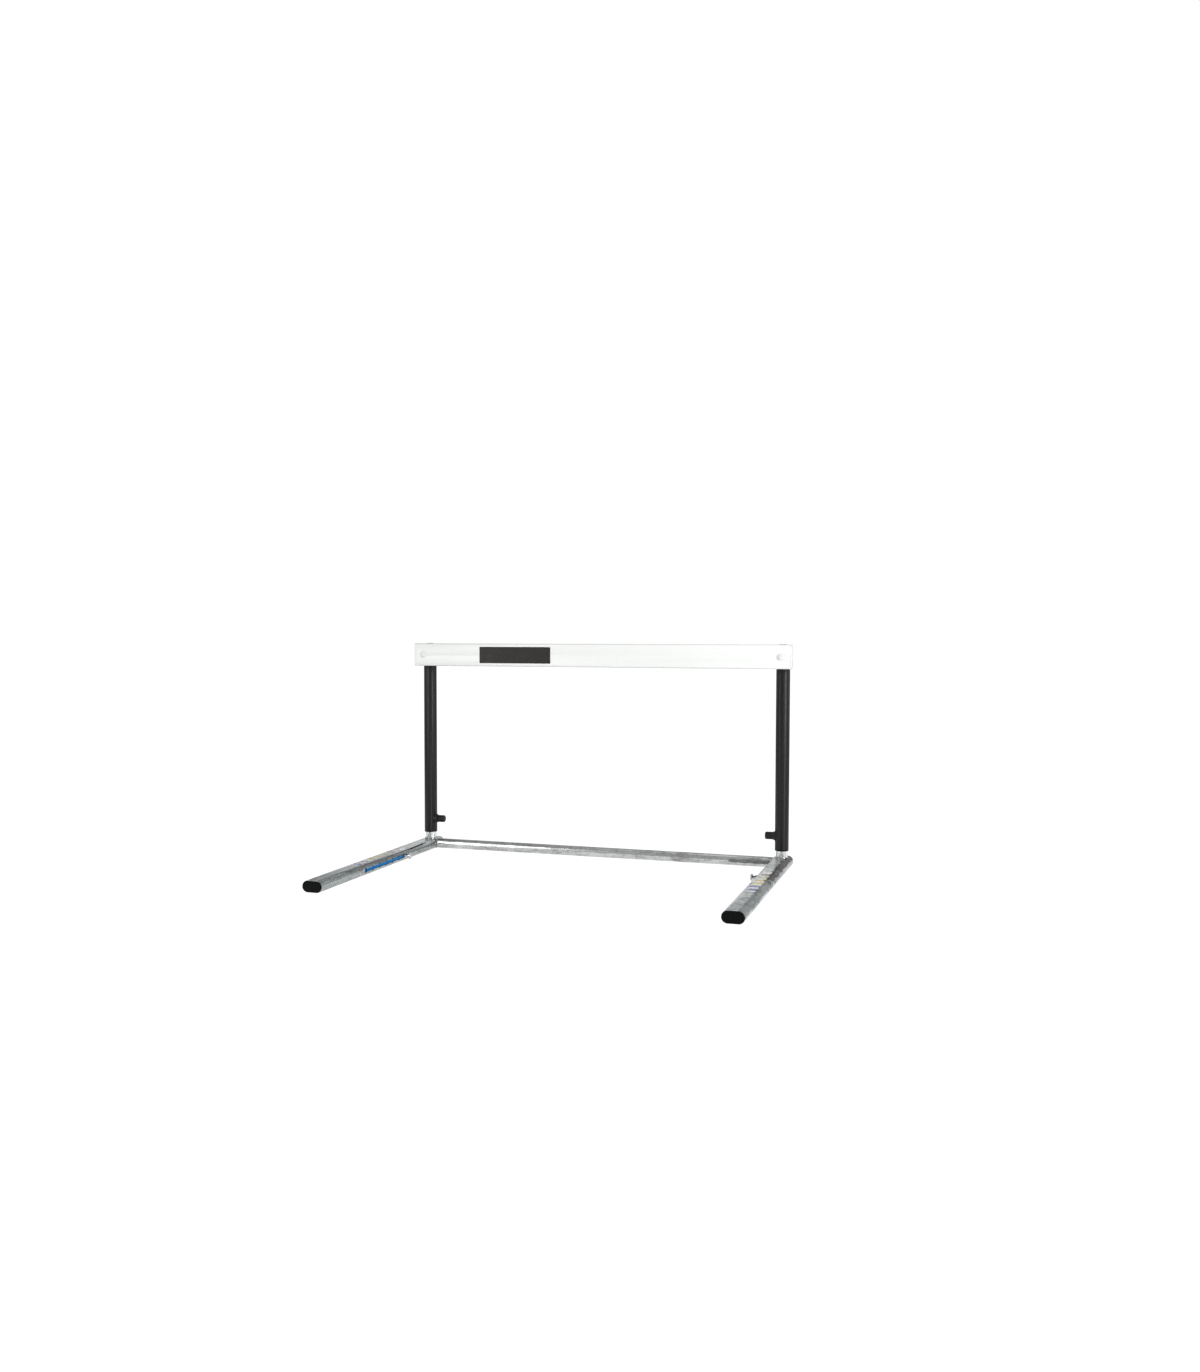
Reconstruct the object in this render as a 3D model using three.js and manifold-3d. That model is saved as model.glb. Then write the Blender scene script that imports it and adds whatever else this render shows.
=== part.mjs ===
// A height-adjustable track hurdle at its lowest setting. Millimetres, +Z up.
// Two flat-oval feet lie on the ground and point to -Y. A post stands near the rear end of each foot,
// and a cross tube joins the feet between the posts. A sleeve slides on each post and a spring plunger
// pins it at one of seven heights. The white bar is bolted to the front of both sleeves.
// A weight slides inside each foot and its sprung stud locks in one of seven notches of a slot.
// The origin is on the ground, in the middle of the hurdle's bounding box.
import * as THREE from "three";
import { mergeVertices } from "three/addons/utils/BufferGeometryUtils.js";
import Module from "manifold-3d";

const wasm = await Module();
wasm.setup();

// Driving dimensions of the whole hurdle
const barLength = 1180; // over the end caps
const lowestBarTop = 650; // top edge of the bar above the ground
const postInset = 31; // of a post axis, and of its foot's, from the bar's end
const footLength = 762; // over the end caps
const rearOverhang = 37; // of a foot behind its post axis
const settingCount = 7; // heights of the bar, and notches for each weight
const heightStep = 69.5; // from one height to the next
const clearance = 0.3; // between pieces that touch or slide
const cutOverrun = 2; // of a cut past the face that it goes through

// Feet
const footWidth = 58;
const footHeight = 32;
const footWall = 2;
const footCapFlange = 3;
const footCapSkirt = 6;
const footCapWall = 2;
const footCapEdge = 1.2; // rounding of the flange

// Slot and notches on the inner side of each foot
const firstNotch = 240; // ahead of the post axis
const lastNotch = 243.5; // behind the foot's front end
const slotPlay = 0.45; // around the stud's shank
const notchPlay = 0.5; // around the stud's collar

// Cross tube
const crossDiameter = 30;
const crossWall = 2;

// Posts and their guide plugs
const postDiameter = 34;
const postWall = 2;
const postTopDrop = 60; // of the post below the bar's top edge at the lowest setting
const plugCollar = 5;
const plugDepth = 20;
const plugWall = 6;

// Sleeves, their bottom bushes and top caps
const sleeveWall = 1.5;
const bushWall = 0.9;
const bushFlange = 3;
const bushDepth = 22;
const bushBottom = 52; // above the ground at the lowest setting
const sleeveTopDrop = 3.5; // below the top edge of the bar
const sleeveCapCrown = 4;
const sleeveCapDepth = 14;
const sleeveCapWall = 2;

// Bar, end caps, saddles and label
const barHeight = 70;
const barThickness = 25;
const barCorner = 5;
const barWall = 2.2;
const barCapFlange = 3;
const barCapSkirt = 15;
const barCapWall = 2;
const barCapEdge = 0.9; // rounding of the flange
const barCapHollowCorner = 1.2;
const saddleThickness = 4; // at its thinnest, between bar and sleeve
const saddleWidth = 30;
const saddleHeight = 50;
const labelLength = 231;
const labelHeight = 50;
const labelThickness = 0.6;
const labelCorner = 2;
const labelInset = 221; // from the bar's left end

// Bolts that hold the bar, and their flange nuts
const boltDiameter = 8;
const boltHeadDiameter = 21;
const boltHeadHeight = 4.6;
const boltTail = 2.5; // of thread past the nut
const boltHolePlay = 0.3;
const nutAcrossCorners = 15;
const nutHeight = 6.5; // past its flange
const nutFlangeDiameter = 17;
const nutFlange = 1.5;

// Spring plungers: pin, housing, spring and pull knob
const plungerRise = 42; // of the axis above the bottom of the bush
const pinDiameter = 8;
const pinReach = 3.5; // of the pin past the post's outer face
const pinNose = 1; // chamfer at the tip
const pinPlay = 0.5; // in the holes of post and sleeve
const pinCollar = 2;
const plungerPull = 7;
const plungerStemDiameter = 6;
const plungerSpringSolid = 6; // room for the closed coils
const plungerFrontWall = 4;
const plungerEndWall = 1.5;
const plungerChamberDiameter = 10.6;
const barrelWall = 1.7;
const bossLength = 7;
const bossStep = 3.5; // length of the boss's taper
const bossFlare = 1; // of the boss at the sleeve, over the knob's radius
const knobDiameter = 22;
const knobFace = 7.5; // solid end of the knob past the housing
const knobEdge = 1.5;
const knobRim = 0.75; // chamfer at the knob's open end
const knobStemEnd = 3; // of the knob past the end of the stem

// Weights and their sprung studs
const weightPlay = 0.4; // to the inside of the foot
const weightTail = 18; // behind the stud
const weightEdge = 1.5;
const studShankDiameter = 7.5;
const studThreadDiameter = 6;
const studCollarDiameter = 13;
const studCollarSink = 4; // of the collar below the foot's side
const studCollarProud = 5; // of the collar outside the foot's side
const studNeckDiameter = 9;
const studNeck = 7.5;
const studHeadDiameter = 19;
const studHead = 5;
const studHeadEdge = 1;
const studPull = 7;
const studSpringSolid = 7.2; // room for the closed coils
const studBoreDiameter = 12;
const studBush = 6;
const studNut = 4;
const studThreadEnd = 1; // of thread past the nut
const studBoreEnd = 3.5; // of the bore past the thread

// Springs
const springWire = 0.9;
const springTurns = 5;
const springStepsPerTurn = 8;
const springWireSides = 5;

// Stripes across the top of each foot, one to a notch: the rear half is coloured, the front half white
const stripeWidth = 24;
const stripeSpacing = 16.25; // bare foot between one stripe and the next
const stripeThickness = 0.3;

// Smoothness of round faces
const roundSides = 24;
const smallSides = 12;
const hexagonSides = 6;
const ovalSteps = 8;
const cornerSteps = 3;
const crownSteps = 4;
const edgeSteps = 1;

// Places of the feet, the posts and the notches
const postX = barLength / 2 - postInset;
const postY = footLength / 2 - rearOverhang;
const footHalf = footWidth / 2;
const firstNotchY = postY - firstNotch;
const notchTravel = firstNotchY + footLength / 2 - lastNotch;
const notchPitch = notchTravel / (settingCount - 1);
const slotHeight = studShankDiameter + 2 * slotPlay;
const notchRadius = studCollarDiameter / 2 + notchPlay;
const stripeLength = notchPitch - stripeSpacing;

// Sizes around a post, from its axis
const postRadius = postDiameter / 2;
const postTop = lowestBarTop - postTopDrop;
const sleeveBore = postRadius + bushWall + 2 * clearance;
const sleeveRadius = sleeveBore + sleeveWall;
const sleeveBottom = bushBottom + bushFlange;
const sleeveTop = lowestBarTop - sleeveTopDrop;
const barMiddle = lowestBarTop - barHeight / 2;
const barBack = -sleeveRadius - saddleThickness;
const barFront = barBack - barThickness;
const boltRadius = boltDiameter / 2;
const boltHoleRadius = boltRadius + boltHolePlay;
const headRadius = boltHeadDiameter / 2;

// Stations along a plunger, from the post's axis outwards
const plungerZ = bushBottom + plungerRise;
const pinTip = postRadius - pinReach;
const chamberFront = sleeveRadius + plungerFrontWall;
const pinCollarFront = chamberFront + clearance;
const pinCollarBack = pinCollarFront + pinCollar;
const chamberBack = pinCollarBack + plungerPull + plungerSpringSolid;
const housingEnd = chamberBack + plungerEndWall;
const bossEnd = sleeveRadius + bossLength;
const knobStart = bossEnd + clearance;
const knobEnd = housingEnd + knobFace;
const stemEnd = knobEnd - knobStemEnd;

// Radii of a plunger
const pinRadius = pinDiameter / 2;
const pinHoleRadius = pinRadius + pinPlay;
const stemRadius = plungerStemDiameter / 2;
const chamberRadius = plungerChamberDiameter / 2;
const barrelRadius = chamberRadius + barrelWall;
const knobRadius = knobDiameter / 2;

// The weight fills the foot's inside. Fully forward, its front end stays clear of the front cap.
const weightWidth = footWidth - 2 * (footWall + weightPlay);
const weightHeight = footHeight - 2 * (footWall + weightPlay);
const weightFront = -footLength / 2 + footCapFlange + footCapSkirt + clearance + notchTravel;
const weightBack = firstNotchY + weightTail;
const weightLength = weightBack - weightFront;

// Stations along a stud, from the foot's axis outwards
const studCollarSeat = footHalf - studCollarSink;
const studCollarEnd = footHalf + studCollarProud;
const studHeadBack = studCollarEnd + studNeck;
const studHeadEnd = studHeadBack + studHead;
const studRecess = studCollarSeat - notchPlay;
const studBushFace = studRecess - clearance;
const studBushBack = studBushFace - studBush;
const studNutFace = studBushBack - studSpringSolid - studPull;
const studNutBack = studNutFace - studNut;
const studEnd = studNutBack - studThreadEnd;

// Radii of a stud
const shankRadius = studShankDiameter / 2;
const threadRadius = studThreadDiameter / 2;
const collarRadius = studCollarDiameter / 2;
const neckRadius = studNeckDiameter / 2;
const studHeadRadius = studHeadDiameter / 2;
const studBoreRadius = studBoreDiameter / 2;
const studBushRadius = studBoreRadius - clearance;

const axisX = new THREE.Vector3(1, 0, 0);
const axisY = new THREE.Vector3(0, 1, 0);
const axisZ = new THREE.Vector3(0, 0, 1);
const forward = axisY.clone().negate();

const finishes = {
  galvanised: new THREE.MeshStandardMaterial({ color: 0xa9b0b2, roughness: 0.42, metalness: 0.9 }),
  blackPaint: new THREE.MeshStandardMaterial({ color: 0x2a2a2c, roughness: 0.45, metalness: 0.1 }),
  blackPlastic: new THREE.MeshStandardMaterial({ color: 0x1a1a1b, roughness: 0.6, metalness: 0 }),
  whitePlastic: new THREE.MeshStandardMaterial({ color: 0xf0f2ef, roughness: 0.35, metalness: 0 }),
  whitePaint: new THREE.MeshStandardMaterial({ color: 0xe6e6df, roughness: 0.4, metalness: 0.1 }),
  zinc: new THREE.MeshStandardMaterial({ color: 0xc4c8c8, roughness: 0.3, metalness: 1 }),
  springSteel: new THREE.MeshStandardMaterial({ color: 0x8c9094, roughness: 0.35, metalness: 1 }),
  brass: new THREE.MeshStandardMaterial({ color: 0xb08d4a, roughness: 0.35, metalness: 1 }),
  bluePaint: new THREE.MeshStandardMaterial({ color: 0x1e6ebe, roughness: 0.4, metalness: 0.1 }),
  labelVinyl: new THREE.MeshStandardMaterial({ color: 0x37322f, roughness: 0.5, metalness: 0 }),
};

// The tape colours from the lowest height to the highest
const stripeColours = [0xe9e6e2, 0x8e2f3e, 0xb4c04e, 0xe0bd3c, 0xe3e6a0, 0x7d6fb4, 0x4f4f9a];
const stripeFinishes = Array.from({ length: settingCount }, (_, i) => {
  const color = stripeColours[i % stripeColours.length];
  return new THREE.MeshStandardMaterial({ color, roughness: 0.5, metalness: 0 });
});

function toSolid(geometry) {
  const bare = geometry.clone();
  bare.deleteAttribute("normal");
  bare.deleteAttribute("uv");
  const merged = mergeVertices(bare);
  return new wasm.Manifold(
    new wasm.Mesh({
      numProp: 3,
      vertProperties: merged.attributes.position.array,
      triVerts: new Uint32Array(merged.index.array),
    }),
  );
}

function toGeometry(solid) {
  const { vertProperties, triVerts } = solid.getMesh();
  const geometry = new THREE.BufferGeometry();
  geometry.setAttribute("position", new THREE.BufferAttribute(new Float32Array(vertProperties), 3));
  geometry.setIndex(new THREE.BufferAttribute(new Uint32Array(triVerts), 1));
  geometry.computeVertexNormals();
  return geometry;
}

function cut(geometry, ...tools) {
  return toGeometry(tools.reduce((rest, tool) => rest.subtract(toSolid(tool)), toSolid(geometry)));
}

function join(geometry, ...others) {
  return toGeometry(others.reduce((whole, other) => whole.add(toSolid(other)), toSolid(geometry)));
}

// Turns a profile of [radius, height] pairs around an axis. Heights run along the axis.
function turned(profile, axis, sides = roundSides) {
  const points = profile.map(([radius, height]) => new THREE.Vector2(radius, height));
  const turn = new THREE.Quaternion().setFromUnitVectors(axisY, axis);
  return new THREE.LatheGeometry(points, sides).applyQuaternion(turn);
}

// A solid round bar from one height to another along an axis.
function rod(radius, from, to, axis, sides = roundSides) {
  return turned([[0, from], [radius, from], [radius, to], [0, to]], axis, sides);
}

// A round tube from one height to another along an axis.
function tube(outer, inner, from, to, axis, sides = roundSides) {
  return turned([[inner, from], [outer, from], [outer, to], [inner, to], [inner, from]], axis, sides);
}

// The points between the rim and the top of a domed crown, as [radius, height] pairs.
function crownPoints(radius, rim, rise) {
  const points = [];
  for (let i = 1; i < crownSteps; i++) {
    const angle = (i / crownSteps) * (Math.PI / 2);
    points.push([radius * Math.cos(angle), rim + rise * Math.sin(angle)]);
  }
  return points;
}

// A box between two corners.
function block(low, high) {
  const size = high.map((value, i) => value - low[i]);
  const middle = high.map((value, i) => (value + low[i]) / 2);
  return new THREE.BoxGeometry(...size).translate(...middle);
}

// The outline of a flat-oval section, wider than it is high.
function flatOval(width, height) {
  const radius = height / 2;
  const reach = width / 2 - radius;
  const outline = new THREE.Shape();
  outline.absarc(reach, 0, radius, -Math.PI / 2, Math.PI / 2);
  outline.absarc(-reach, 0, radius, Math.PI / 2, (3 * Math.PI) / 2);
  return new THREE.Shape(outline.getPoints(ovalSteps));
}

function roundedRectangle(width, height, radius) {
  const x = width / 2 - radius;
  const y = height / 2 - radius;
  const outline = new THREE.Shape();
  const corners = [[x, -y], [x, y], [-x, y], [-x, -y]];
  corners.forEach(([cornerX, cornerY], i) => {
    const start = ((i - 1) * Math.PI) / 2;
    outline.absarc(cornerX, cornerY, radius, start, start + Math.PI / 2);
  });
  return new THREE.Shape(outline.getPoints(cornerSteps));
}

// Extrudes an outline drawn in the XZ plane, centred on Y, with an optional rounded edge.
function alongY(outline, length, edge = 0) {
  const options = {
    depth: length - 2 * edge,
    bevelEnabled: edge > 0,
    bevelThickness: edge,
    bevelSize: edge,
    bevelOffset: -edge,
    bevelSegments: edgeSteps,
  };
  const geometry = new THREE.ExtrudeGeometry(outline, options);
  return geometry.translate(0, 0, edge - length / 2).rotateX(Math.PI / 2);
}

// Extrudes an outline drawn in the YZ plane, centred on X, with an optional rounded edge.
function alongX(outline, length, edge = 0) {
  return alongY(outline, length, edge).rotateZ(Math.PI / 2);
}

// A compression spring of round wire in the round gap between two radii, along an axis.
function coilSpring(innerRadius, outerRadius, from, to, axis) {
  const steps = springTurns * springStepsPerTurn;
  const meanRadius = (innerRadius + outerRadius) / 2;
  const wireRadius = springWire / 2;
  const start = from + wireRadius;
  const rise = to - from - springWire;
  const positions = [];
  const index = [];
  for (let i = 0; i <= steps; i++) {
    const turn = (i / springStepsPerTurn) * 2 * Math.PI;
    for (let k = 0; k < springWireSides; k++) {
      const around = (k / springWireSides) * 2 * Math.PI;
      const radius = meanRadius + wireRadius * Math.cos(around);
      const height = start + (rise * i) / steps + wireRadius * Math.sin(around);
      positions.push(radius * Math.cos(turn), height, -radius * Math.sin(turn));
    }
  }
  for (let i = 0; i < steps; i++) {
    for (let k = 0; k < springWireSides; k++) {
      const a = i * springWireSides + k;
      const b = i * springWireSides + ((k + 1) % springWireSides);
      index.push(a, a + springWireSides, b, b, a + springWireSides, b + springWireSides);
    }
  }
  const last = steps * springWireSides;
  for (let k = 1; k < springWireSides - 1; k++) {
    index.push(0, k, k + 1, last, last + k + 1, last + k);
  }
  const geometry = new THREE.BufferGeometry();
  geometry.setAttribute("position", new THREE.Float32BufferAttribute(positions, 3));
  geometry.setIndex(index);
  geometry.computeVertexNormals();
  return geometry.applyQuaternion(new THREE.Quaternion().setFromUnitVectors(axisY, axis));
}

function addPiece(parent, name, geometry, finish, ...position) {
  const mesh = new THREE.Mesh(geometry, finish);
  mesh.name = name;
  if (position.length) mesh.position.set(...position);
  parent.add(mesh);
}

function addGroup(parent, x, y, z) {
  const group = new THREE.Group();
  group.position.set(x, y, z);
  parent.add(group);
  return group;
}

// The space that a foot fills, grown by the clearance, which copes the tubes welded to it.
function footEnvelope() {
  const outline = flatOval(footWidth + 2 * clearance, footHeight + 2 * clearance);
  return alongY(outline, footLength);
}

// Foot: flat-oval tube with the notched slot on the side that faces the other foot.
function footTube(axis) {
  const outline = flatOval(footWidth, footHeight);
  outline.holes.push(flatOval(footWidth - 2 * footWall, footHeight - 2 * footWall));
  const inside = footHalf - footHeight / 2;
  const outside = footHalf + cutOverrun;
  const slot = block(
    [inside, firstNotchY - notchTravel, -slotHeight / 2],
    [outside, firstNotchY, slotHeight / 2],
  );
  if (axis.x < 0) slot.translate(-inside - outside, 0, 0);
  const notches = [];
  for (let i = 0; i < settingCount; i++) {
    const notch = rod(notchRadius, inside, outside, axis, smallSides);
    notches.push(notch.translate(0, firstNotchY - i * notchPitch, 0));
  }
  return cut(alongY(outline, footLength - 2 * footCapFlange), slot, ...notches);
}

// End cap: a flange over the tube's end and a hollow skirt pushed into it.
function footCap(end) {
  const skirtWidth = footWidth - 2 * (footWall + clearance);
  const skirtHeight = footHeight - 2 * (footWall + clearance);
  const skirtOutline = flatOval(skirtWidth, skirtHeight);
  skirtOutline.holes.push(flatOval(skirtWidth - 2 * footCapWall, skirtHeight - 2 * footCapWall));
  const skirtLength = footCapSkirt + footCapFlange / 2;
  const skirtMiddle = end * (footLength / 2 - footCapFlange / 2 - skirtLength / 2);
  const skirt = alongY(skirtOutline, skirtLength).translate(0, skirtMiddle, 0);
  const flangeMiddle = end * (footLength / 2 - footCapFlange / 2 + clearance / 2);
  const flange = alongY(flatOval(footWidth, footHeight), footCapFlange - clearance, footCapEdge);
  return join(flange.translate(0, flangeMiddle, 0), skirt);
}

// Stripe: a strip of tape across the top of the foot. Its coloured rear half lies beside its notch.
function heightStripe() {
  const half = [stripeWidth / 2, stripeLength / 2, stripeThickness / 2];
  return block(half.map((value) => -value), half);
}

// Cross tube, coped at both ends to the feet.
function crossTube() {
  const reach = postX - footHalf + footHeight / 2;
  const shell = tube(crossDiameter / 2, crossDiameter / 2 - crossWall, -reach, reach, axisX);
  const footSpaces = [-postX, postX].map((x) => footEnvelope().translate(x, -postY, 0));
  return cut(shell, ...footSpaces);
}

// Post: tube coped to the foot below, with one lock hole for each height on its inner side.
function postTube(axis) {
  const shell = tube(postRadius, postRadius - postWall, footHeight / 2, postTop, axisZ);
  const holes = [];
  for (let i = 0; i < settingCount; i++) {
    const hole = rod(pinHoleRadius, 0, postRadius + cutOverrun, axis, smallSides);
    holes.push(hole.translate(0, 0, plungerZ + i * heightStep));
  }
  return cut(shell, footEnvelope().translate(0, -postY, footHeight / 2), ...holes);
}

// Guide plug: a hollow stem pushed into the post, and a collar that runs in the sleeve.
function guidePlug() {
  const stem = postRadius - postWall - clearance;
  const collar = sleeveBore - clearance;
  const seat = postTop + clearance;
  return turned(
    [
      [stem - plugWall, seat - plugDepth],
      [stem, seat - plugDepth],
      [stem, seat],
      [collar, seat],
      [collar, seat + plugCollar],
      [0, seat + plugCollar],
      [0, seat],
      [stem - plugWall, seat],
      [stem - plugWall, seat - plugDepth],
    ],
    axisZ,
  );
}

// Weight: a steel bar of the foot's own section with a stepped bore for the stud.
function weightBar(axis, studY) {
  const body = alongY(flatOval(weightWidth, weightHeight), weightLength, weightEdge);
  const bore = rod(studBoreRadius, studEnd - studBoreEnd, footHalf, axis, smallSides);
  const recess = rod(notchRadius, studRecess, footHalf, axis, smallSides);
  return cut(body, bore.translate(0, studY, 0), recess.translate(0, studY, 0));
}

// Bush: pressed into the weight's bore, it guides the stud's shank and holds the spring in.
function studBushRing(axis) {
  return tube(studBushRadius, shankRadius + clearance, studBushBack, studBushFace, axis, smallSides);
}

function studNutRing(axis) {
  const hexagon = rod(studBushRadius, studNutBack, studNutFace, axis, hexagonSides);
  const hole = rod(
    threadRadius + clearance,
    studNutBack - cutOverrun,
    studNutFace + cutOverrun,
    axis,
    smallSides,
  );
  return cut(hexagon, hole);
}

function studSpring(axis) {
  const from = studNutFace + clearance;
  return coilSpring(shankRadius, studBoreRadius, from, studBushBack - clearance, axis);
}

// Stud: head, neck, locking collar, shank and thread turned from one bar.
function weightStud(axis) {
  return turned(
    [
      [0, studEnd],
      [threadRadius, studEnd],
      [threadRadius, studNutFace + clearance],
      [shankRadius, studNutFace + clearance],
      [shankRadius, studCollarSeat],
      [collarRadius, studCollarSeat],
      [collarRadius, studCollarEnd],
      [neckRadius, studCollarEnd],
      [neckRadius, studHeadBack],
      [studHeadRadius - studHeadEdge, studHeadBack],
      [studHeadRadius, studHeadBack + studHeadEdge],
      [studHeadRadius, studHeadEnd - studHeadEdge],
      [studHeadRadius - studHeadEdge, studHeadEnd],
      [0, studHeadEnd],
    ],
    axis,
    smallSides,
  );
}

// Sleeve: tube with holes for the pin and for the bolt of the bar.
function sleeveTube(axis) {
  const reach = sleeveRadius + cutOverrun;
  const shell = tube(sleeveRadius, sleeveBore, sleeveBottom, sleeveTop, axisZ);
  const pinHole = rod(pinHoleRadius, 0, reach, axis, smallSides);
  const boltHole = rod(boltHoleRadius, -reach, reach, axisY, smallSides);
  return cut(shell, pinHole.translate(0, 0, plungerZ), boltHole.translate(0, 0, barMiddle));
}

// Bush: a thin liner in the bottom of the sleeve with a flange under its end.
function sleeveBush() {
  const bore = postRadius + clearance;
  const liner = sleeveBore - clearance;
  const flangeTop = sleeveBottom - clearance;
  return turned(
    [
      [bore, bushBottom],
      [sleeveRadius - clearance, bushBottom],
      [sleeveRadius, bushBottom + clearance],
      [sleeveRadius, flangeTop],
      [liner, flangeTop],
      [liner, sleeveBottom + bushDepth],
      [bore, sleeveBottom + bushDepth],
      [bore, bushBottom],
    ],
    axisZ,
  );
}

// Sleeve cap: a shallow crown over the tube and a hollow stem inside it.
function sleeveCap() {
  const stem = sleeveBore - clearance;
  const seat = sleeveTop + clearance;
  return turned(
    [
      [stem - sleeveCapWall, seat - sleeveCapDepth],
      [stem, seat - sleeveCapDepth],
      [stem, seat],
      [sleeveRadius, seat],
      ...crownPoints(sleeveRadius, seat, sleeveCapCrown),
      [0, seat + sleeveCapCrown],
      [0, seat],
      [stem - sleeveCapWall, seat],
      [stem - sleeveCapWall, seat - sleeveCapDepth],
    ],
    axisZ,
  );
}

// Bar: hollow profile drilled front to back for the two bolts.
function barProfile() {
  const outline = roundedRectangle(barThickness, barHeight, barCorner);
  const inside = [barThickness - 2 * barWall, barHeight - 2 * barWall, barCorner - barWall];
  outline.holes.push(roundedRectangle(...inside));
  const reach = barThickness / 2 + cutOverrun;
  const holes = [-postX, postX].map((x) => {
    return rod(boltHoleRadius, -reach, reach, axisY, smallSides).translate(x, 0, 0);
  });
  return cut(alongX(outline, barLength - 2 * barCapFlange), ...holes);
}

function barCap(side) {
  const skirtThickness = barThickness - 2 * (barWall + clearance);
  const skirtHeight = barHeight - 2 * (barWall + clearance);
  const skirtCorner = barCorner - barWall - clearance;
  const skirtOutline = roundedRectangle(skirtThickness, skirtHeight, skirtCorner);
  const hollow = [skirtThickness - 2 * barCapWall, skirtHeight - 2 * barCapWall, barCapHollowCorner];
  skirtOutline.holes.push(roundedRectangle(...hollow));
  const skirtLength = barCapSkirt + barCapFlange / 2;
  const skirtMiddle = side * (barLength / 2 - barCapFlange / 2 - skirtLength / 2);
  const skirt = alongX(skirtOutline, skirtLength).translate(skirtMiddle, 0, 0);
  const flangeOutline = roundedRectangle(barThickness, barHeight, barCorner);
  const flangeMiddle = side * (barLength / 2 - barCapFlange / 2 + clearance / 2);
  const flange = alongX(flangeOutline, barCapFlange - clearance, barCapEdge);
  return join(flange.translate(flangeMiddle, 0, 0), skirt);
}

function barLabel() {
  return alongY(roundedRectangle(labelLength, labelHeight, labelCorner), labelThickness);
}

// Saddle: a block behind the bar, hollowed to the round of the sleeve and drilled for the bolt.
function barSaddle() {
  const half = saddleWidth / 2;
  const depth = Math.sqrt(sleeveRadius ** 2 - half ** 2);
  const body = block(
    [-half, barBack + clearance, barMiddle - saddleHeight / 2],
    [half, -depth, barMiddle + saddleHeight / 2],
  );
  const sleeveSpace = rod(sleeveRadius + clearance, sleeveBottom, sleeveTop, axisZ);
  const boltHole = rod(boltHoleRadius, barBack - cutOverrun, 0, axisY, smallSides);
  return cut(body, sleeveSpace, boltHole.translate(0, 0, barMiddle));
}

// Carriage bolt: domed head in front of the bar, shank through bar, saddle and sleeve.
function barBolt() {
  const headBase = -barFront + clearance;
  const tail = -(sleeveRadius + clearance + nutFlange + nutHeight + boltTail);
  return turned(
    [
      [0, tail],
      [boltRadius, tail],
      [boltRadius, headBase],
      [headRadius, headBase],
      ...crownPoints(headRadius, headBase, boltHeadHeight),
      [0, headBase + boltHeadHeight],
    ],
    forward,
    smallSides,
  );
}

function flangeNut() {
  const seat = sleeveRadius + clearance;
  const top = seat + nutFlange + nutHeight;
  const hexagon = rod(nutAcrossCorners / 2, seat, top, axisY, hexagonSides);
  const flange = rod(nutFlangeDiameter / 2, seat, seat + nutFlange, axisY, smallSides);
  const hole = rod(boltHoleRadius, 0, top + cutOverrun, axisY, smallSides);
  return cut(join(hexagon, flange), hole);
}

// Housing: a boss coped to the sleeve, and the barrel that holds the spring.
function plungerHousing(axis) {
  const shell = turned(
    [
      [0, sleeveBore],
      [knobRadius + bossFlare, sleeveBore],
      [knobRadius + bossFlare, bossEnd - bossStep],
      [knobRadius, bossEnd],
      [barrelRadius, bossEnd],
      [barrelRadius, housingEnd],
      [0, housingEnd],
    ],
    axis,
    smallSides,
  );
  const sleeveSpace = rod(sleeveRadius + clearance, -knobDiameter, knobDiameter, axisZ);
  const guide = rod(pinRadius + clearance, 0, pinCollarFront, axis, smallSides);
  const chamber = rod(chamberRadius, chamberFront, chamberBack, axis, smallSides);
  const stemHole = rod(stemRadius + clearance, chamberFront, housingEnd + cutOverrun, axis, smallSides);
  return cut(shell, sleeveSpace, guide, chamber, stemHole);
}

function plungerPin(axis) {
  return turned(
    [
      [0, pinTip],
      [pinRadius - pinNose, pinTip],
      [pinRadius, pinTip + pinNose],
      [pinRadius, pinCollarFront],
      [chamberRadius - clearance, pinCollarFront],
      [chamberRadius - clearance, pinCollarBack],
      [stemRadius, pinCollarBack],
      [stemRadius, stemEnd],
      [0, stemEnd],
    ],
    axis,
    smallSides,
  );
}

function plungerSpring(axis) {
  const from = pinCollarBack + clearance;
  return coilSpring(stemRadius, chamberRadius, from, chamberBack - clearance, axis);
}

// Knob: a cup that covers the barrel and grips the end of the pin's stem.
function plungerKnob(axis) {
  const cupRadius = barrelRadius + clearance;
  const cupEnd = housingEnd + clearance;
  const stemHole = stemRadius + clearance;
  return turned(
    [
      [cupRadius, knobStart],
      [knobRadius - knobRim, knobStart],
      [knobRadius, knobStart + knobRim],
      [knobRadius, knobEnd - knobEdge],
      [knobRadius - knobEdge, knobEnd],
      [0, knobEnd],
      [0, stemEnd + clearance],
      [stemHole, stemEnd + clearance],
      [stemHole, cupEnd],
      [cupRadius, cupEnd],
      [cupRadius, knobStart],
    ],
    axis,
    smallSides,
  );
}

function addFoot(parent, name, x, axis) {
  const foot = addGroup(parent, x, 0, footHeight / 2);
  addPiece(foot, `foot_tube_${name}`, footTube(axis), finishes.galvanised);
  addPiece(foot, `foot_front_cap_${name}`, footCap(-1), finishes.blackPlastic);
  addPiece(foot, `foot_rear_cap_${name}`, footCap(1), finishes.blackPlastic);
  const stripeZ = footHeight / 2 + clearance / 2 + stripeThickness / 2;
  stripeFinishes.forEach((finish, i) => {
    const stripeY = firstNotchY - stripeLength / 4 - i * notchPitch;
    addPiece(foot, `height_stripe_${name}_${i + 1}`, heightStripe(), finish, 0, stripeY, stripeZ);
  });
}

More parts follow.
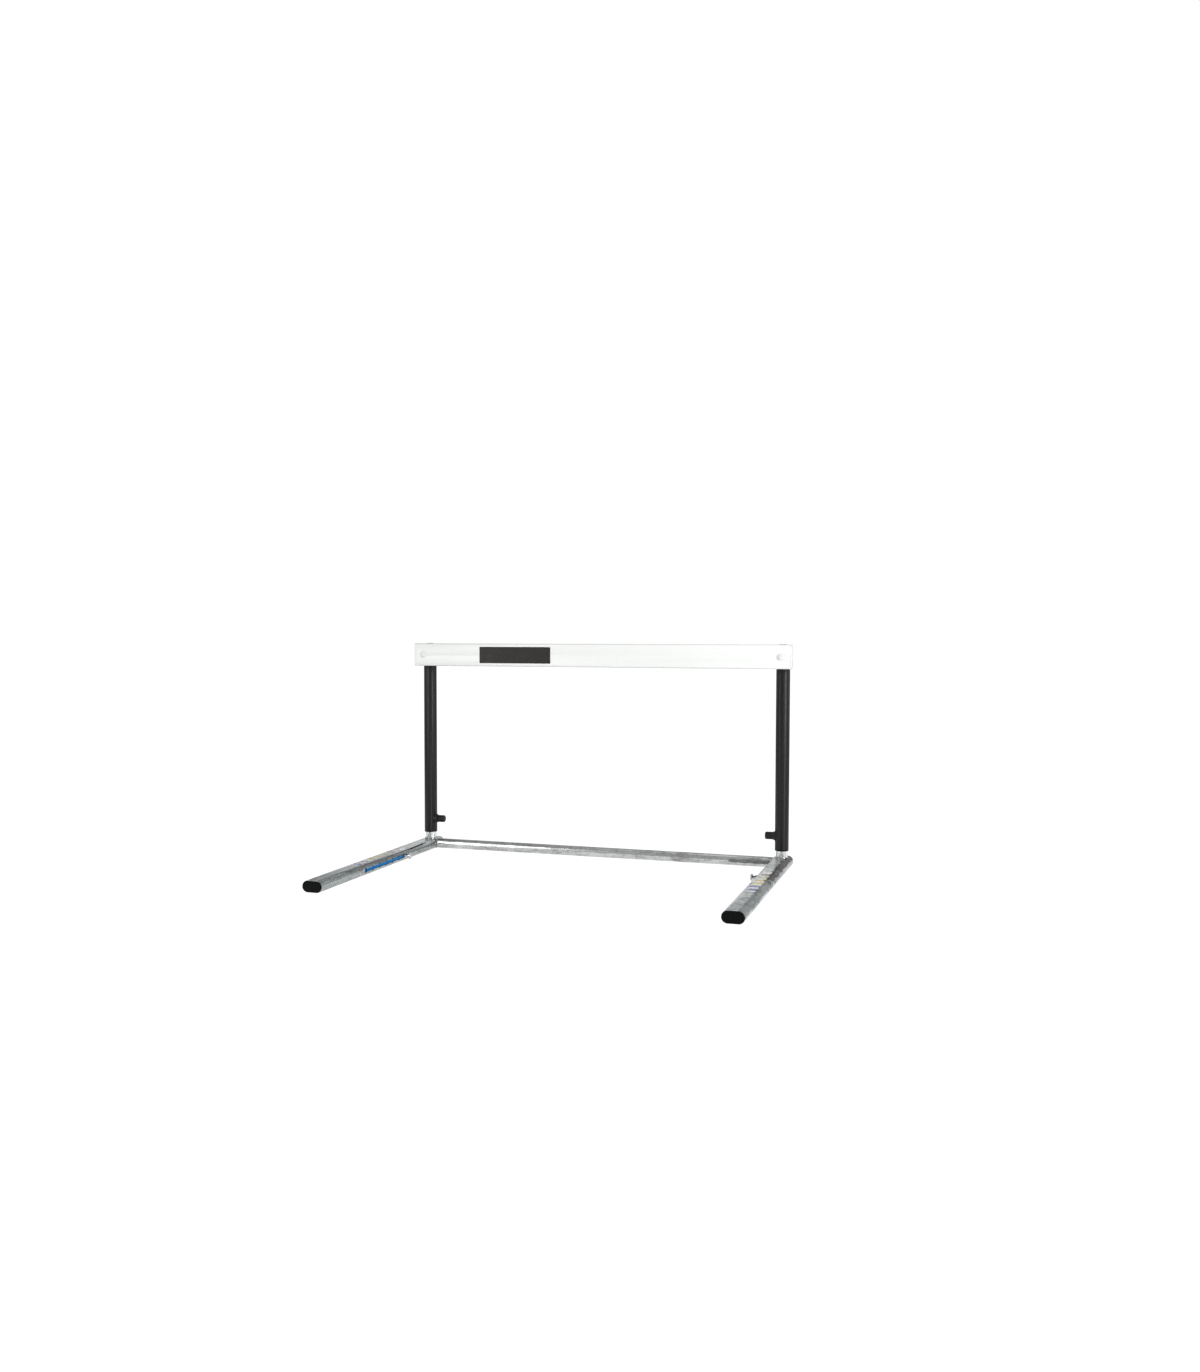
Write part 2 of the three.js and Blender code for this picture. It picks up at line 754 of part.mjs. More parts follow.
function addPost(parent, name, x, axis) {
  const post = addGroup(parent, x, postY, 0);
  addPiece(post, `post_tube_${name}`, postTube(axis), finishes.galvanised);
  addPiece(post, `post_guide_plug_${name}`, guidePlug(), finishes.blackPlastic);
}

function addWeight(parent, name, x, axis) {
  const middle = (weightFront + weightBack) / 2;
  const weight = addGroup(parent, x, middle, footHeight / 2);
  addPiece(weight, `counterweight_${name}`, weightBar(axis, firstNotchY - middle), finishes.bluePaint);
  const stud = addGroup(weight, 0, firstNotchY - middle, 0);
  addPiece(stud, `weight_stud_${name}`, weightStud(axis), finishes.zinc);
  addPiece(stud, `stud_bush_${name}`, studBushRing(axis), finishes.brass);
  addPiece(stud, `stud_spring_${name}`, studSpring(axis), finishes.springSteel);
  addPiece(stud, `stud_nut_${name}`, studNutRing(axis), finishes.zinc);
}

function addUpright(parent, name, x, axis) {
  const upright = addGroup(parent, x, 0, 0);
  addPiece(upright, `sleeve_tube_${name}`, sleeveTube(axis), finishes.blackPaint);
  addPiece(upright, `sleeve_cap_${name}`, sleeveCap(), finishes.blackPlastic);
  addPiece(upright, `sleeve_bush_${name}`, sleeveBush(), finishes.blackPlastic);
  addPiece(upright, `bar_saddle_${name}`, barSaddle(), finishes.blackPlastic);
  addPiece(upright, `bar_bolt_${name}`, barBolt(), finishes.whitePaint, 0, 0, barMiddle);
  addPiece(upright, `bar_nut_${name}`, flangeNut(), finishes.zinc, 0, 0, barMiddle);
}

function addPlunger(parent, name, x, axis) {
  const plunger = addGroup(parent, x, 0, plungerZ);
  addPiece(plunger, `plunger_housing_${name}`, plungerHousing(axis), finishes.blackPaint);
  addPiece(plunger, `plunger_spring_${name}`, plungerSpring(axis), finishes.springSteel);
  addPiece(plunger, `plunger_pin_${name}`, plungerPin(axis), finishes.zinc);
  addPiece(plunger, `plunger_knob_${name}`, plungerKnob(axis), finishes.blackPlastic);
}

const hurdle = new THREE.Group();
const base = addGroup(hurdle, 0, 0, 0);
const upperFrame = addGroup(hurdle, 0, postY, 0);

addPiece(base, "cross_tube", crossTube(), finishes.galvanised, 0, postY, footHeight / 2);

const barCentre = [0, (barBack + barFront) / 2, barMiddle];
const labelX = -barLength / 2 + labelInset + labelLength / 2;
const labelY = barFront - clearance - labelThickness / 2;
addPiece(upperFrame, "bar_profile", barProfile(), finishes.whitePlastic, ...barCentre);
addPiece(upperFrame, "bar_label", barLabel(), finishes.labelVinyl, labelX, labelY, barMiddle);

for (const [name, side] of [["left", -1], ["right", 1]]) {
  const x = side * postX;
  const inward = axisX.clone().multiplyScalar(-side);
  addFoot(base, name, x, inward);
  addPost(base, name, x, inward);
  addWeight(hurdle, name, x, inward);
  addUpright(upperFrame, name, x, inward);
  addPlunger(upperFrame, name, x, inward);
  addPiece(upperFrame, `bar_end_cap_${name}`, barCap(side), finishes.whitePlastic, ...barCentre);
}

export default hurdle;
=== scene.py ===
from math import cos, pi, radians, sin, sqrt

import bmesh
import bpy
from mathutils import Matrix, Vector


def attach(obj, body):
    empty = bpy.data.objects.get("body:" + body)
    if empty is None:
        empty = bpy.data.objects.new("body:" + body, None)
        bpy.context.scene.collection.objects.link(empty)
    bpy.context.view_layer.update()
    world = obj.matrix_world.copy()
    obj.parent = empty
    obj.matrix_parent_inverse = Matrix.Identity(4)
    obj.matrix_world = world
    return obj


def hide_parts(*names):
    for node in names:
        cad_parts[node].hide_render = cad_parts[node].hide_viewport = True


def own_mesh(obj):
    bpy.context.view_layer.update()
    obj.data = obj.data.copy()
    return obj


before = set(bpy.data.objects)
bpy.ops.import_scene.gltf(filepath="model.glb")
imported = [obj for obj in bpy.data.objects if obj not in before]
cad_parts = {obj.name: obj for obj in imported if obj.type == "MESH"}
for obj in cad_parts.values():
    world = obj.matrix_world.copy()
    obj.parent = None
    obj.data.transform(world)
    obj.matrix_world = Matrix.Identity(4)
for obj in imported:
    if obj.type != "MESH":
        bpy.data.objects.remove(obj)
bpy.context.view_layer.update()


# Camera: it stands in front of the hurdle and to its right, just above the height of the bar.
# Its place, its turn and the centre of its picture were fitted to points of the photograph.
picture_width = 1200
picture_height = 1372
picture_centre = (594.6, 690.8)
focal_pixels = 1213.5
camera_place = Vector((1.1049, -3.1592, 0.6738))
camera_turn = 0.3088
camera_dip = 0.0451
camera_roll = 0.0016

ahead = Vector((-sin(camera_turn) * cos(camera_dip), cos(camera_turn) * cos(camera_dip), -sin(camera_dip)))
level = Vector((cos(camera_turn), sin(camera_turn), 0))
upright = level.cross(ahead)
camera_right = level * cos(camera_roll) + upright * sin(camera_roll)
camera_up = upright * cos(camera_roll) - level * sin(camera_roll)
bpy.ops.object.camera_add()
camera = bpy.context.object
camera_axes = Matrix((camera_right, camera_up, -ahead)).transposed().to_4x4()
camera.matrix_world = Matrix.Translation(camera_place) @ camera_axes
camera.data.lens = focal_pixels * camera.data.sensor_width / picture_height
camera.data.shift_x = (picture_width / 2 - picture_centre[0]) / picture_height
camera.data.shift_y = (picture_centre[1] - picture_height / 2) / picture_height
bpy.context.scene.camera = camera


# Studio: a pale floor that runs out of sight under soft light, in front of a white surround.
# Metal sees the white of the floor and the surround, but the dim room behind the camera as well.
# Soft boxes stand to the right, to the left, above and behind, where one lights the bar's back.
bpy.context.scene.view_settings.view_transform = "Standard"
white = (1, 1, 1, 1)
floor_size = 80
floor_drop = 0.0001
floor_colour = (0.86, 0.86, 0.86, 1)
floor_roughness = 0.9
floor_show = 0.86
floor_glow = 1.16
floor_fade = (0.9, 2.6)
floor_gloss = (0.86, 0.35)
light_turn = (0.1, -0.7)
back_light = 0.42
front_light = 0.71
backdrop_turn = (-0.08, 0.2)
backdrop_gloss = 0.92
backdrop_right = 0.55
ceiling_turn = (0.2, 0.6)
ceiling_gloss = 0.36
room_turn = (0.4, -0.3)
room_gloss = 0.42


def feed(node, values):
    """Gives a node its values, by socket name or number. A value may be another node's output."""
    for key, value in values.items():
        if isinstance(value, bpy.types.NodeSocket):
            node.id_data.links.new(value, node.inputs[key])
        else:
            node.inputs[key].default_value = value


def add_node(kind, values=None, tree=None, **settings):
    """Adds a shader node, to the tree of the outputs among its values where no tree is named."""
    values = values or {}
    tree = tree or next(value.id_data for value in values.values() if isinstance(value, bpy.types.NodeSocket))
    node = tree.nodes.new("ShaderNode" + kind)
    for key, value in settings.items():
        setattr(node, key, value)
    feed(node, values)
    return node


def math(operation, *values):
    return add_node("Math", dict(enumerate(values)), operation=operation).outputs[0]


def axes_of(vector):
    return add_node("SeparateXYZ", {0: vector}).outputs


def mixed(share, first, second):
    """A number between two numbers."""
    return add_node("Mix", {0: share, 2: first, 3: second}).outputs[0]


def spread(value, low, high, new_low=0.0, new_high=1.0):
    """Maps a value from one range to another, held at its ends."""
    values = {"Value": value, "From Min": low, "From Max": high, "To Min": new_low, "To Max": new_high}
    return add_node("MapRange", values).outputs[0]


bpy.ops.mesh.primitive_plane_add(size=floor_size, location=(0, 0, -floor_drop))
floor = bpy.context.object
floor.name = "studio_floor"
floor_finish = bpy.data.materials.new("studio floor")
floor_finish.use_nodes = True
floor_tree = floor_finish.node_tree
floor_shader = floor_tree.nodes["Principled BSDF"]
floor_values = {"Base Color": floor_colour, "Roughness": floor_roughness, "Specular IOR Level": 0}
feed(floor_shader, floor_values)
floor_place = add_node("TexCoord", tree=floor_tree).outputs["Object"]
floor_distance = add_node("VectorMath", {0: floor_place}, operation="LENGTH").outputs["Value"]
floor_path = add_node("LightPath", tree=floor_tree).outputs
faded_gloss = spread(floor_distance, *floor_fade, *floor_gloss)
glow_strength = mixed(floor_path["Is Glossy Ray"], floor_glow, faded_gloss)
glow = add_node("Emission", {"Color": white, "Strength": glow_strength}).outputs[0]
floor_seen = math("MAXIMUM", floor_path["Is Camera Ray"], floor_path["Is Glossy Ray"])
floor_seen = math("MAXIMUM", floor_seen, floor_path["Is Transmission Ray"])
floor_share = math("MULTIPLY", floor_seen, floor_show)
floor_mix = add_node("MixShader", {0: floor_share, 1: floor_shader.outputs[0], 2: glow}).outputs[0]
feed(floor_tree.nodes["Material Output"], {"Surface": floor_mix})
floor.data.materials.append(floor_finish)

surround = bpy.data.worlds.new("studio surround")
bpy.context.scene.world = surround
surround.use_nodes = True
world_tree = surround.node_tree
towards = axes_of(add_node("TexCoord", tree=world_tree).outputs["Generated"])
backdrop = spread(towards["X"], *backdrop_turn, backdrop_gloss, backdrop_right)
above = spread(towards["Z"], *ceiling_turn)
backdrop = mixed(above, backdrop, ceiling_gloss)
forward = spread(towards["Y"], *room_turn)
gloss_light = mixed(forward, backdrop, room_gloss)
matt_light = spread(towards["Y"], *light_turn, back_light, front_light)
path = add_node("LightPath", tree=world_tree).outputs
object_light = mixed(path["Is Glossy Ray"], matt_light, gloss_light)
clear_view = math("MAXIMUM", path["Is Camera Ray"], path["Is Transmission Ray"])
strength = mixed(clear_view, object_light, 1.0)
feed(world_tree.nodes["Background"], {"Color": white, "Strength": strength})


def add_lamp(name, place, aim, width, height, watts, in_gloss=True):
    """A soft box of light that faces a point. It isn't seen itself, but what shines may show it."""
    bpy.ops.object.light_add(type="AREA", location=place)
    lamp = bpy.context.object
    lamp.name = name
    lamp.rotation_euler = (Vector(aim) - Vector(place)).to_track_quat("-Z", "Y").to_euler()
    lamp.data.shape = "RECTANGLE"
    lamp.data.size = width
    lamp.data.size_y = height
    lamp.data.energy = watts
    lamp.visible_camera = False
    lamp.visible_glossy = in_gloss


add_lamp("key_softbox", (2.6, -1.16, 1.1), (0, 0.3, 0.5), width=0.9, height=2.0, watts=44)
add_lamp("fill_softbox", (-1.5, -1.9, 1.0), (0, 0.3, 0.5), width=0.7, height=1.8, watts=14)
add_lamp("top_softbox", (0.2, 0.6, 3.2), (0, 0.3, 0.4), width=2.4, height=1.6, watts=5)
add_lamp("rear_softbox", (-0.6, 3.4, 1.3), (0, 0.3, 0.4), width=2.6, height=1.6, watts=28, in_gloss=False)


# Foot tubes: two lengths of flat-oval steel tube, 58 by 32 mm with a 2 mm wall, hot-dip galvanised.
# A slot with seven notches is cut through the side that faces the other foot, for the weight's stud.
# The zinc has cooled into faint spangles with duller grey patches, drawn out along the tube.
mm = 0.001
foot_x = -559 * mm
foot_z = 16 * mm
foot_width = 58 * mm
foot_height = 32 * mm
foot_wall = 2 * mm
foot_tube_length = 756 * mm
notch_count = 7
first_notch_y = 104 * mm
notch_pitch = 40.25 * mm
notch_radius = 7 * mm
slot_height = 8.4 * mm
cut_past = 4 * mm
tube_edge = 0.25 * mm
oval_merge = 0.01 * mm
smooth_angle = radians(35)
spangle_size = 7 * mm
streak_size = 15 * mm
cloud_size = 80 * mm
drip_size = 2.6 * mm
ripple_size = 6 * mm
patch_edge_size = 9 * mm
zinc_relief = 0.25 * mm
# Painted reflection: the dark zinc of the patches where dark surroundings are mirrored, and a paler dark for
# their mottling.
painted_reflection_zinc = (0.034, 0.035, 0.032, 1)
paler_painted_reflection_zinc = (0.095, 0.097, 0.09, 1)


def activate(piece):
    bpy.ops.object.select_all(action="DESELECT")
    piece.select_set(True)
    bpy.context.view_layer.objects.active = piece


def modify(piece, kind, **settings):
    """Adds a modifier to a piece and applies it."""
    activate(piece)
    modifier = piece.modifiers.new(kind, kind)
    for key, value in settings.items():
        setattr(modifier, key, value)
    bpy.ops.object.modifier_apply(modifier=modifier.name)


def settle(piece, spot=None, turn=None):
    """Puts a piece in its place, if it has one to go to, and leaves the object itself at the origin."""
    activate(piece)
    if turn:
        piece.rotation_euler = turn
    if spot:
        piece.location = spot
    bpy.ops.object.transform_apply(location=True, rotation=True, scale=True)
    return piece


def pick(kind, wanted):
    """Selects the edges or faces of the mesh in edit mode that are wanted, and no others."""
    bpy.ops.mesh.select_mode(type=kind)
    bpy.ops.mesh.select_all(action="DESELECT")
    mesh = bmesh.from_edit_mesh(bpy.context.object.data)
    for item in mesh.edges if kind == "EDGE" else mesh.faces:
        if wanted(item):
            item.select_set(True)
    bmesh.update_edit_mesh(bpy.context.object.data)


def edit(piece):
    activate(piece)
    bpy.ops.object.mode_set(mode="EDIT")
    return piece


def leave_edit():
    bpy.ops.object.mode_set(mode="OBJECT")


def select_all():
    bpy.ops.mesh.select_all(action="SELECT")


def face_outwards():
    """Turns every face of the mesh in edit mode outwards, and leaves edit mode."""
    select_all()
    bpy.ops.mesh.normals_make_consistent(inside=False)
    leave_edit()


def add_box(low, high, axis=0, corner=0, steps=1):
    """A block between two corners. The edges along an axis may be rounded."""
    low, high = Vector(low), Vector(high)
    bpy.ops.mesh.primitive_cube_add(size=1, location=(low + high) / 2, scale=high - low)
    piece = settle(bpy.context.object)
    if corner:
        edit(piece)
        reach = (high - low)[axis] / 2
        pick("EDGE", lambda edge: abs(edge.verts[0].co[axis] - edge.verts[1].co[axis]) > reach)
        bpy.ops.mesh.bevel(offset=corner, offset_type="OFFSET", segments=steps, affect="EDGES")
        leave_edit()
    return piece


def add_flat_oval(middle, width, length, height, arc_steps=24):
    """A bar of flat-oval section along Y: a block whose four long edges are fully rounded."""
    half = Vector((width, length, height)) / 2
    piece = edit(add_box(Vector(middle) - half, Vector(middle) + half, 1, corner=height / 2, steps=arc_steps))
    select_all()
    bpy.ops.mesh.remove_doubles(threshold=oval_merge)
    leave_edit()
    return piece


def hollow_out(piece, wall, axis):
    """Takes off the two ends that face along an axis and gives what is left a wall, inwards."""
    edit(piece)
    pick("FACE", lambda face: abs(face.normal[axis]) > 0.9)
    bpy.ops.mesh.delete(type="FACE")
    leave_edit()
    modify(piece, "SOLIDIFY", thickness=wall, offset=-1, use_even_offset=True)


def add_rod(radius, start, end, sides=48):
    """A round rod between two points."""
    start, end = Vector(start), Vector(end)
    turn = (end - start).to_track_quat("Z", "Y").to_euler()
    bpy.ops.mesh.primitive_cylinder_add(
        vertices=sides, radius=radius, depth=(end - start).length, location=(start + end) / 2, rotation=turn
    )
    return settle(bpy.context.object)


def carve(piece, *tools):
    """Cuts tools out of a piece and removes the tools."""
    for tool in tools:
        modify(piece, "BOOLEAN", operation="DIFFERENCE", object=tool, solver="EXACT")
        bpy.data.objects.remove(tool, do_unlink=True)


def soften_edges(piece, width, steps=2, angle=radians(40)):
    modify(piece, "BEVEL", width=width, segments=steps, limit_method="ANGLE", angle_limit=angle)


def copy_of(piece):
    """A copy with a mesh of its own."""
    activate(piece)
    bpy.ops.object.duplicate(linked=False)
    return bpy.context.object


def mirrored(piece):
    """The right-hand copy of a left-hand piece."""
    copy = copy_of(piece)
    copy.scale.x = -1
    edit(settle(copy))
    face_outwards()
    return copy


def finish(piece, name, material, body, slot, *nodes):
    """Names a piece, shades it, gives it its finish, hangs it on its body and hides the nodes of the model
    that it stands for.
    """
    activate(piece)
    bpy.ops.object.shade_smooth_by_angle(angle=smooth_angle)
    piece.name = name
    piece.data.name = name
    piece.data.materials.clear()
    piece.data.materials.append(material)
    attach(piece, body)
    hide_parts(*nodes)


def new_group(name, inputs, outputs):
    """A shader node group, with what comes in and the node that its results go to."""
    group = bpy.data.node_groups.new(name, "ShaderNodeTree")
    for way, sockets in (("INPUT", inputs), ("OUTPUT", outputs)):
        for label, kind in sockets.items():
            group.interface.new_socket(label, in_out=way, socket_type="NodeSocket" + kind)
    return group, group.nodes.new("NodeGroupInput").outputs, group.nodes.new("NodeGroupOutput")


def use_group(group, **values):
    """What comes out of a node group in a material. The values go in by name."""
    return add_node("Group", values, node_tree=group).outputs


def noise(place, size, detail=2.0, roughness=0.5, distortion=0.0):
    values = {"Vector": place, "Scale": 1 / size, "Detail": detail, "Roughness": roughness}
    return add_node("TexNoise", {**values, "Distortion": distortion}).outputs[0]


def blended(share, first, second):
    """A colour between two colours."""
    return add_node("Mix", {0: share, 6: first, 7: second}, data_type="RGBA").outputs[2]


def vector_math(operation, *values):
    return add_node("VectorMath", dict(enumerate(values)), operation=operation).outputs[0]


def stretched(place, scale, centre=(0, 0, 0)):
    """A pattern's place, centred on a point and drawn out along the axes whose scale is small."""
    moved = vector_math("SUBTRACT", place, centre)
    return add_node("Mapping", {"Vector": moved, "Scale": scale}).outputs[0]


def new_finish(name, metallic, specular=0.5):
    """A material with its shader and the place of a point on the object."""
    material = bpy.data.materials.new(name)
    material.use_nodes = True
    shader = material.node_tree.nodes["Principled BSDF"]
    feed(shader, {"Metallic": metallic, "Specular IOR Level": specular})
    return material, shader, add_node("TexCoord", tree=material.node_tree).outputs["Object"]


def dress(shader, colour, roughness, height, depth, strength=0.6):
    """Joins colour, roughness and surface height to a shader. Height is a share of the depth."""
    bump = add_node("Bump", {"Strength": strength, "Distance": depth, "Height": height}).outputs[0]
    feed(shader, {"Base Color": colour, "Roughness": roughness, "Normal": bump})


zinc_group, zinc_in, zinc_out = new_group(
    "zinc coat", {"Place": "Vector", "Drawn": "Vector", "Bright": "Color", "Dull": "Color"},
    {"Colour": "Color", "Roughness": "Float", "Height": "Float"},
)
spangle_values = {"Vector": zinc_in["Place"], "Scale": 1 / spangle_size}
spangle = add_node("TexVoronoi", spangle_values).outputs["Color"]
spangle = add_node("SeparateColor", {0: spangle}).outputs[0]
streaks = noise(zinc_in["Drawn"], streak_size, detail=5, roughness=0.6, distortion=0.8)
clouds = noise(zinc_in["Place"], cloud_size)
drips = noise(zinc_in["Place"], drip_size, detail=4, roughness=0.7)
patches = math("MULTIPLY_ADD", streaks, 2.2, math("MULTIPLY_ADD", clouds, 1.0, -1.6))
patches = math("MULTIPLY_ADD", spangle, 0.34, patches)
patches = math("MULTIPLY_ADD", drips, 1.1, math("SUBTRACT", patches, 0.35))
dullness = spread(patches, 0.1, 1.0)
ripples = noise(zinc_in["Drawn"], ripple_size)
relief = math("MULTIPLY_ADD", drips, 0.22, math("MULTIPLY", ripples, 0.6))
feed(zinc_out, {
    "Colour": blended(dullness, zinc_in["Bright"], zinc_in["Dull"]),
    "Roughness": spread(dullness, 0, 1, 0.15, 0.34),
    "Height": math("MULTIPLY_ADD", spangle, 0.1, relief),
})


def galvanised(name, draw, bright, dull, metallic=1.0, dark_reflection_patches=()):
    """Galvanised steel, streaked along the axis that is drawn out.

    Each dark patch is a painted reflection of dark surroundings, drawn as darker, less metallic zinc. It has
    a middle and a reach, in millimetres, and a share of its dark shade.
    """
    material, shader, place = new_finish(name, metallic, specular=0.2)
    drawn = stretched(place, draw)
    zinc = use_group(zinc_group, Place=place, Drawn=drawn, Bright=bright, Dull=dull)
    colour, roughness = zinc["Colour"], zinc["Roughness"]
    if dark_reflection_patches:
        broken = noise(drawn, patch_edge_size, detail=4, roughness=0.65)
        # Painted reflection: each patch darkens the zinc and takes its metal away, where dark surroundings
        # are mirrored.
        painted_reflection_share = 0.0
        for middle, reach, share in dark_reflection_patches:
            away = vector_math("SUBTRACT", place, Vector(middle) * mm)
            away = vector_math("DIVIDE", away, Vector(reach) * mm)
            sides = axes_of(vector_math("ABSOLUTE", away))
            away = math("MAXIMUM", math("MAXIMUM", sides["X"], sides["Y"]), sides["Z"])
            away = math("MULTIPLY_ADD", broken, 1.5, away)
            painted_reflection_share = math("MAXIMUM", painted_reflection_share, spread(away, 1.62, 1.92, share, 0))
        painted_reflection_colour = blended(spread(broken, 0.4, 0.62), painted_reflection_zinc, paler_painted_reflection_zinc)
        colour = blended(painted_reflection_share, colour, painted_reflection_colour)
        roughness = math("MULTIPLY_ADD", painted_reflection_share, 0.2, roughness)
        feed(shader, {"Metallic": spread(painted_reflection_share, 0, 1, metallic, 0)})
    dress(shader, colour, roughness, zinc["Height"], zinc_relief, strength=0.5)
    return material


foot_tube = add_flat_oval((foot_x, 0, foot_z), foot_width, foot_tube_length, foot_height)
hollow_out(foot_tube, foot_wall, axis=1)
arc_x = foot_x + (foot_width - foot_height) / 2
side_x = foot_x + foot_width / 2
slot_low = (arc_x, first_notch_y - (notch_count - 1) * notch_pitch, foot_z - slot_height / 2)
slot_high = (side_x + cut_past, first_notch_y, foot_z + slot_height / 2)
carve(foot_tube, add_box(slot_low, slot_high))
for notch in range(notch_count):
    notch_y = first_notch_y - notch * notch_pitch
    carve(foot_tube, add_rod(notch_radius, (arc_x, notch_y, foot_z), (side_x + cut_past, notch_y, foot_z)))
soften_edges(foot_tube, tube_edge)
# Painted reflection on the right foot: dark patches on its top and outer shoulder, where the black post and
# the dark room are mirrored.
right_dark_reflections = [
    ((559, 90, 32), (21, 270, 3), 0.28),
    ((580, 195, 32), (13, 210, 9), 1.0),
    ((582, -150, 28), (12, 320, 12), 0.7),
]
right_zinc = galvanised(
    "zinc of the right foot", draw=(1, 0.4, 1), bright=(0.76, 0.81, 0.82, 1), dull=(0.27, 0.29, 0.285, 1),
    dark_reflection_patches=right_dark_reflections,
)
# Painted shade: the left foot's zinc has darker colours than the right foot's, though both feet are the same
# galvanised tube.
left_zinc = galvanised(
    "zinc of the left foot", draw=(1, 0.15, 1), bright=(0.51, 0.545, 0.55, 1), dull=(0.125, 0.13, 0.12, 1)
)
right_foot_tube = mirrored(foot_tube)
finish(foot_tube, "left_foot", left_zinc, "base", "galvanised_steel", "foot_tube_left")
finish(right_foot_tube, "right_foot", right_zinc, "base", "galvanised_steel", "foot_tube_right")


# Foot caps: black moulded plastic caps, pushed with a skirt into both ends of each foot tube.
# The flange is a little smaller than the tube, so the tube's cut rim shows as a bright line round it.
cap_flange = 2.7 * mm
cap_rim = 0.7 * mm
cap_edge = 2 * mm
cap_lip = 2.6 * mm
cap_sink = 0.7 * mm
cap_skirt_inset = 1.7 * mm
cap_skirt = 6.3 * mm
cap_wall = 2 * mm
cap_step = 0.4 * mm
cap_break = 0.3 * mm
rim_reach = 0.1 * mm
foot_end_y = 381 * mm
chip_size = 2.5 * mm
mottle_scale = 0.06
scuff_size = 1.1 * mm
rubbed_size = 14 * mm
mottle_range = (0.3, 0.7)
deeper = 0.72
# Painted shade: a near-black colour laid on the weights beyond the slot and on the tops of the studs.
painted_shade_colour = (0.004, 0.006, 0.012, 1)

grain_group, grain_in, grain_out = new_group(
    "fine grain", {"Place": "Vector", "Size": "Float"}, {"Height": "Float", "Mottle": "Float"}
)
for result, share, detail in (("Height", 1.0, 3.0), ("Mottle", mottle_scale, 4.0)):
    grain_scale = math("MULTIPLY", math("DIVIDE", 1.0, grain_in["Size"]), share)
    grain_values = {"Vector": grain_in["Place"], "Scale": grain_scale, "Detail": detail, "Roughness": 0.6}
    feed(grain_out, {result: add_node("TexNoise", grain_values).outputs[0]})

wear_group, wear_in, wear_out = new_group(
    "worn edges", {"Place": "Vector", "Reach": "Float"}, {"Mask": "Float"}
)
sharpness = add_node("NewGeometry", tree=wear_group).outputs["Pointiness"]
broken = noise(wear_in["Place"], chip_size, detail=4, roughness=0.7)
sharpness = math("MULTIPLY_ADD", broken, 0.06, math("SUBTRACT", sharpness, 0.03))
wear_start = math("SUBTRACT", 0.6, wear_in["Reach"])
worn_share = math("DIVIDE", math("SUBTRACT", sharpness, wear_start), 0.04)
feed(wear_out, {"Mask": add_node("Clamp", {0: worn_share}).outputs[0]})

scuff_group, scuff_in, scuff_out = new_group(
    "scuffs", {"Drawn": "Vector", "Amount": "Float"}, {"Mask": "Float"}
)
long_marks = noise(scuff_in["Drawn"], scuff_size, roughness=0.6, distortion=0.4)
where_rubbed = noise(scuff_in["Drawn"], rubbed_size)
marks = math("MULTIPLY_ADD", where_rubbed, 0.7, long_marks)
marks = math("SUBTRACT", marks, math("SUBTRACT", 1.08, scuff_in["Amount"]))
feed(scuff_out, {"Mask": spread(marks, 0, 0.14)})


def coated(
    name, colour, worn, size, roughness, draw=(1, 1, 1), specular=0.5, amount=0.08, reach=0.03,
    depth=0.05 * mm, unshaded_band=None,
):
    """Paint or moulded plastic: an even colour with a fine grain, rubbed marks and lighter worn edges.

    Where a band is given, by a height and two reaches, painted shade darkens what is beyond it.
    """
    material, shader, place = new_finish(name, metallic=0.0, specular=specular)
    grain = use_group(grain_group, Place=place, Size=size)
    scuffs = use_group(scuff_group, Drawn=stretched(place, draw), Amount=amount)["Mask"]
    edges = use_group(wear_group, Place=place, Reach=reach)["Mask"]
    marked = math("MAXIMUM", math("MULTIPLY", scuffs, 0.45), math("MULTIPLY", edges, 0.6))
    shade = spread(grain["Mottle"], *mottle_range, 0, 0.22)
    even = blended(shade, colour, (*(deeper * part for part in colour[:3]), 1))
    rough = spread(grain["Mottle"], *mottle_range, roughness - 0.06, roughness + 0.06)
    rough = math("MULTIPLY_ADD", marked, 0.2, rough)
    colour = blended(marked, even, worn)
    # Painted shade on what lies beyond the band.
    if unshaded_band:
        middle, half, faded = unshaded_band
        from_band = math("ABSOLUTE", math("SUBTRACT", axes_of(place)["Z"], middle))
        colour = blended(spread(from_band, half, faded), colour, painted_shade_colour)
    dress(shader, colour, rough, grain["Height"], depth)
    return material


def extrude(way):
    """Extrudes what is selected of the mesh in edit mode."""
    bpy.ops.mesh.extrude_region_move(TRANSFORM_OT_translate={"value": tuple(way)})


def round_rim(cap, axis, outer, radius, steps):
    """Rounds the rim of a left-hand cap where it lies furthest out along an axis, and stays in edit mode."""
    edit(cap)
    pick("EDGE", lambda edge: max(vertex.co[axis] for vertex in edge.verts) < outer + rim_reach)
    bpy.ops.mesh.bevel(offset=radius, offset_type="OFFSET", segments=steps, affect="EDGES")


def grow_skirt(axis, inset, length, wall):
    """Grows a hollow skirt from the face of a cap that looks along an axis, and leaves edit mode."""
    way = Vector()
    way[axis] = length
    pick("FACE", lambda face: face.normal[axis] > 0.99)
    bpy.ops.mesh.inset(thickness=inset)
    extrude(way)
    bpy.ops.mesh.inset(thickness=wall)
    extrude(-way)
    leave_edit()


def finish_pair(left_piece, name, material, body, slot, *nodes):
    """Finishes a left piece and its mirrored copy. Braces in the body's name stand for the side."""
    for side, piece in (("left", left_piece), ("right", mirrored(left_piece))):
        replaced = [f"{node}_{side}" for node in nodes]
        finish(piece, f"{side}_{name}", material, body.format(side), slot, *replaced)


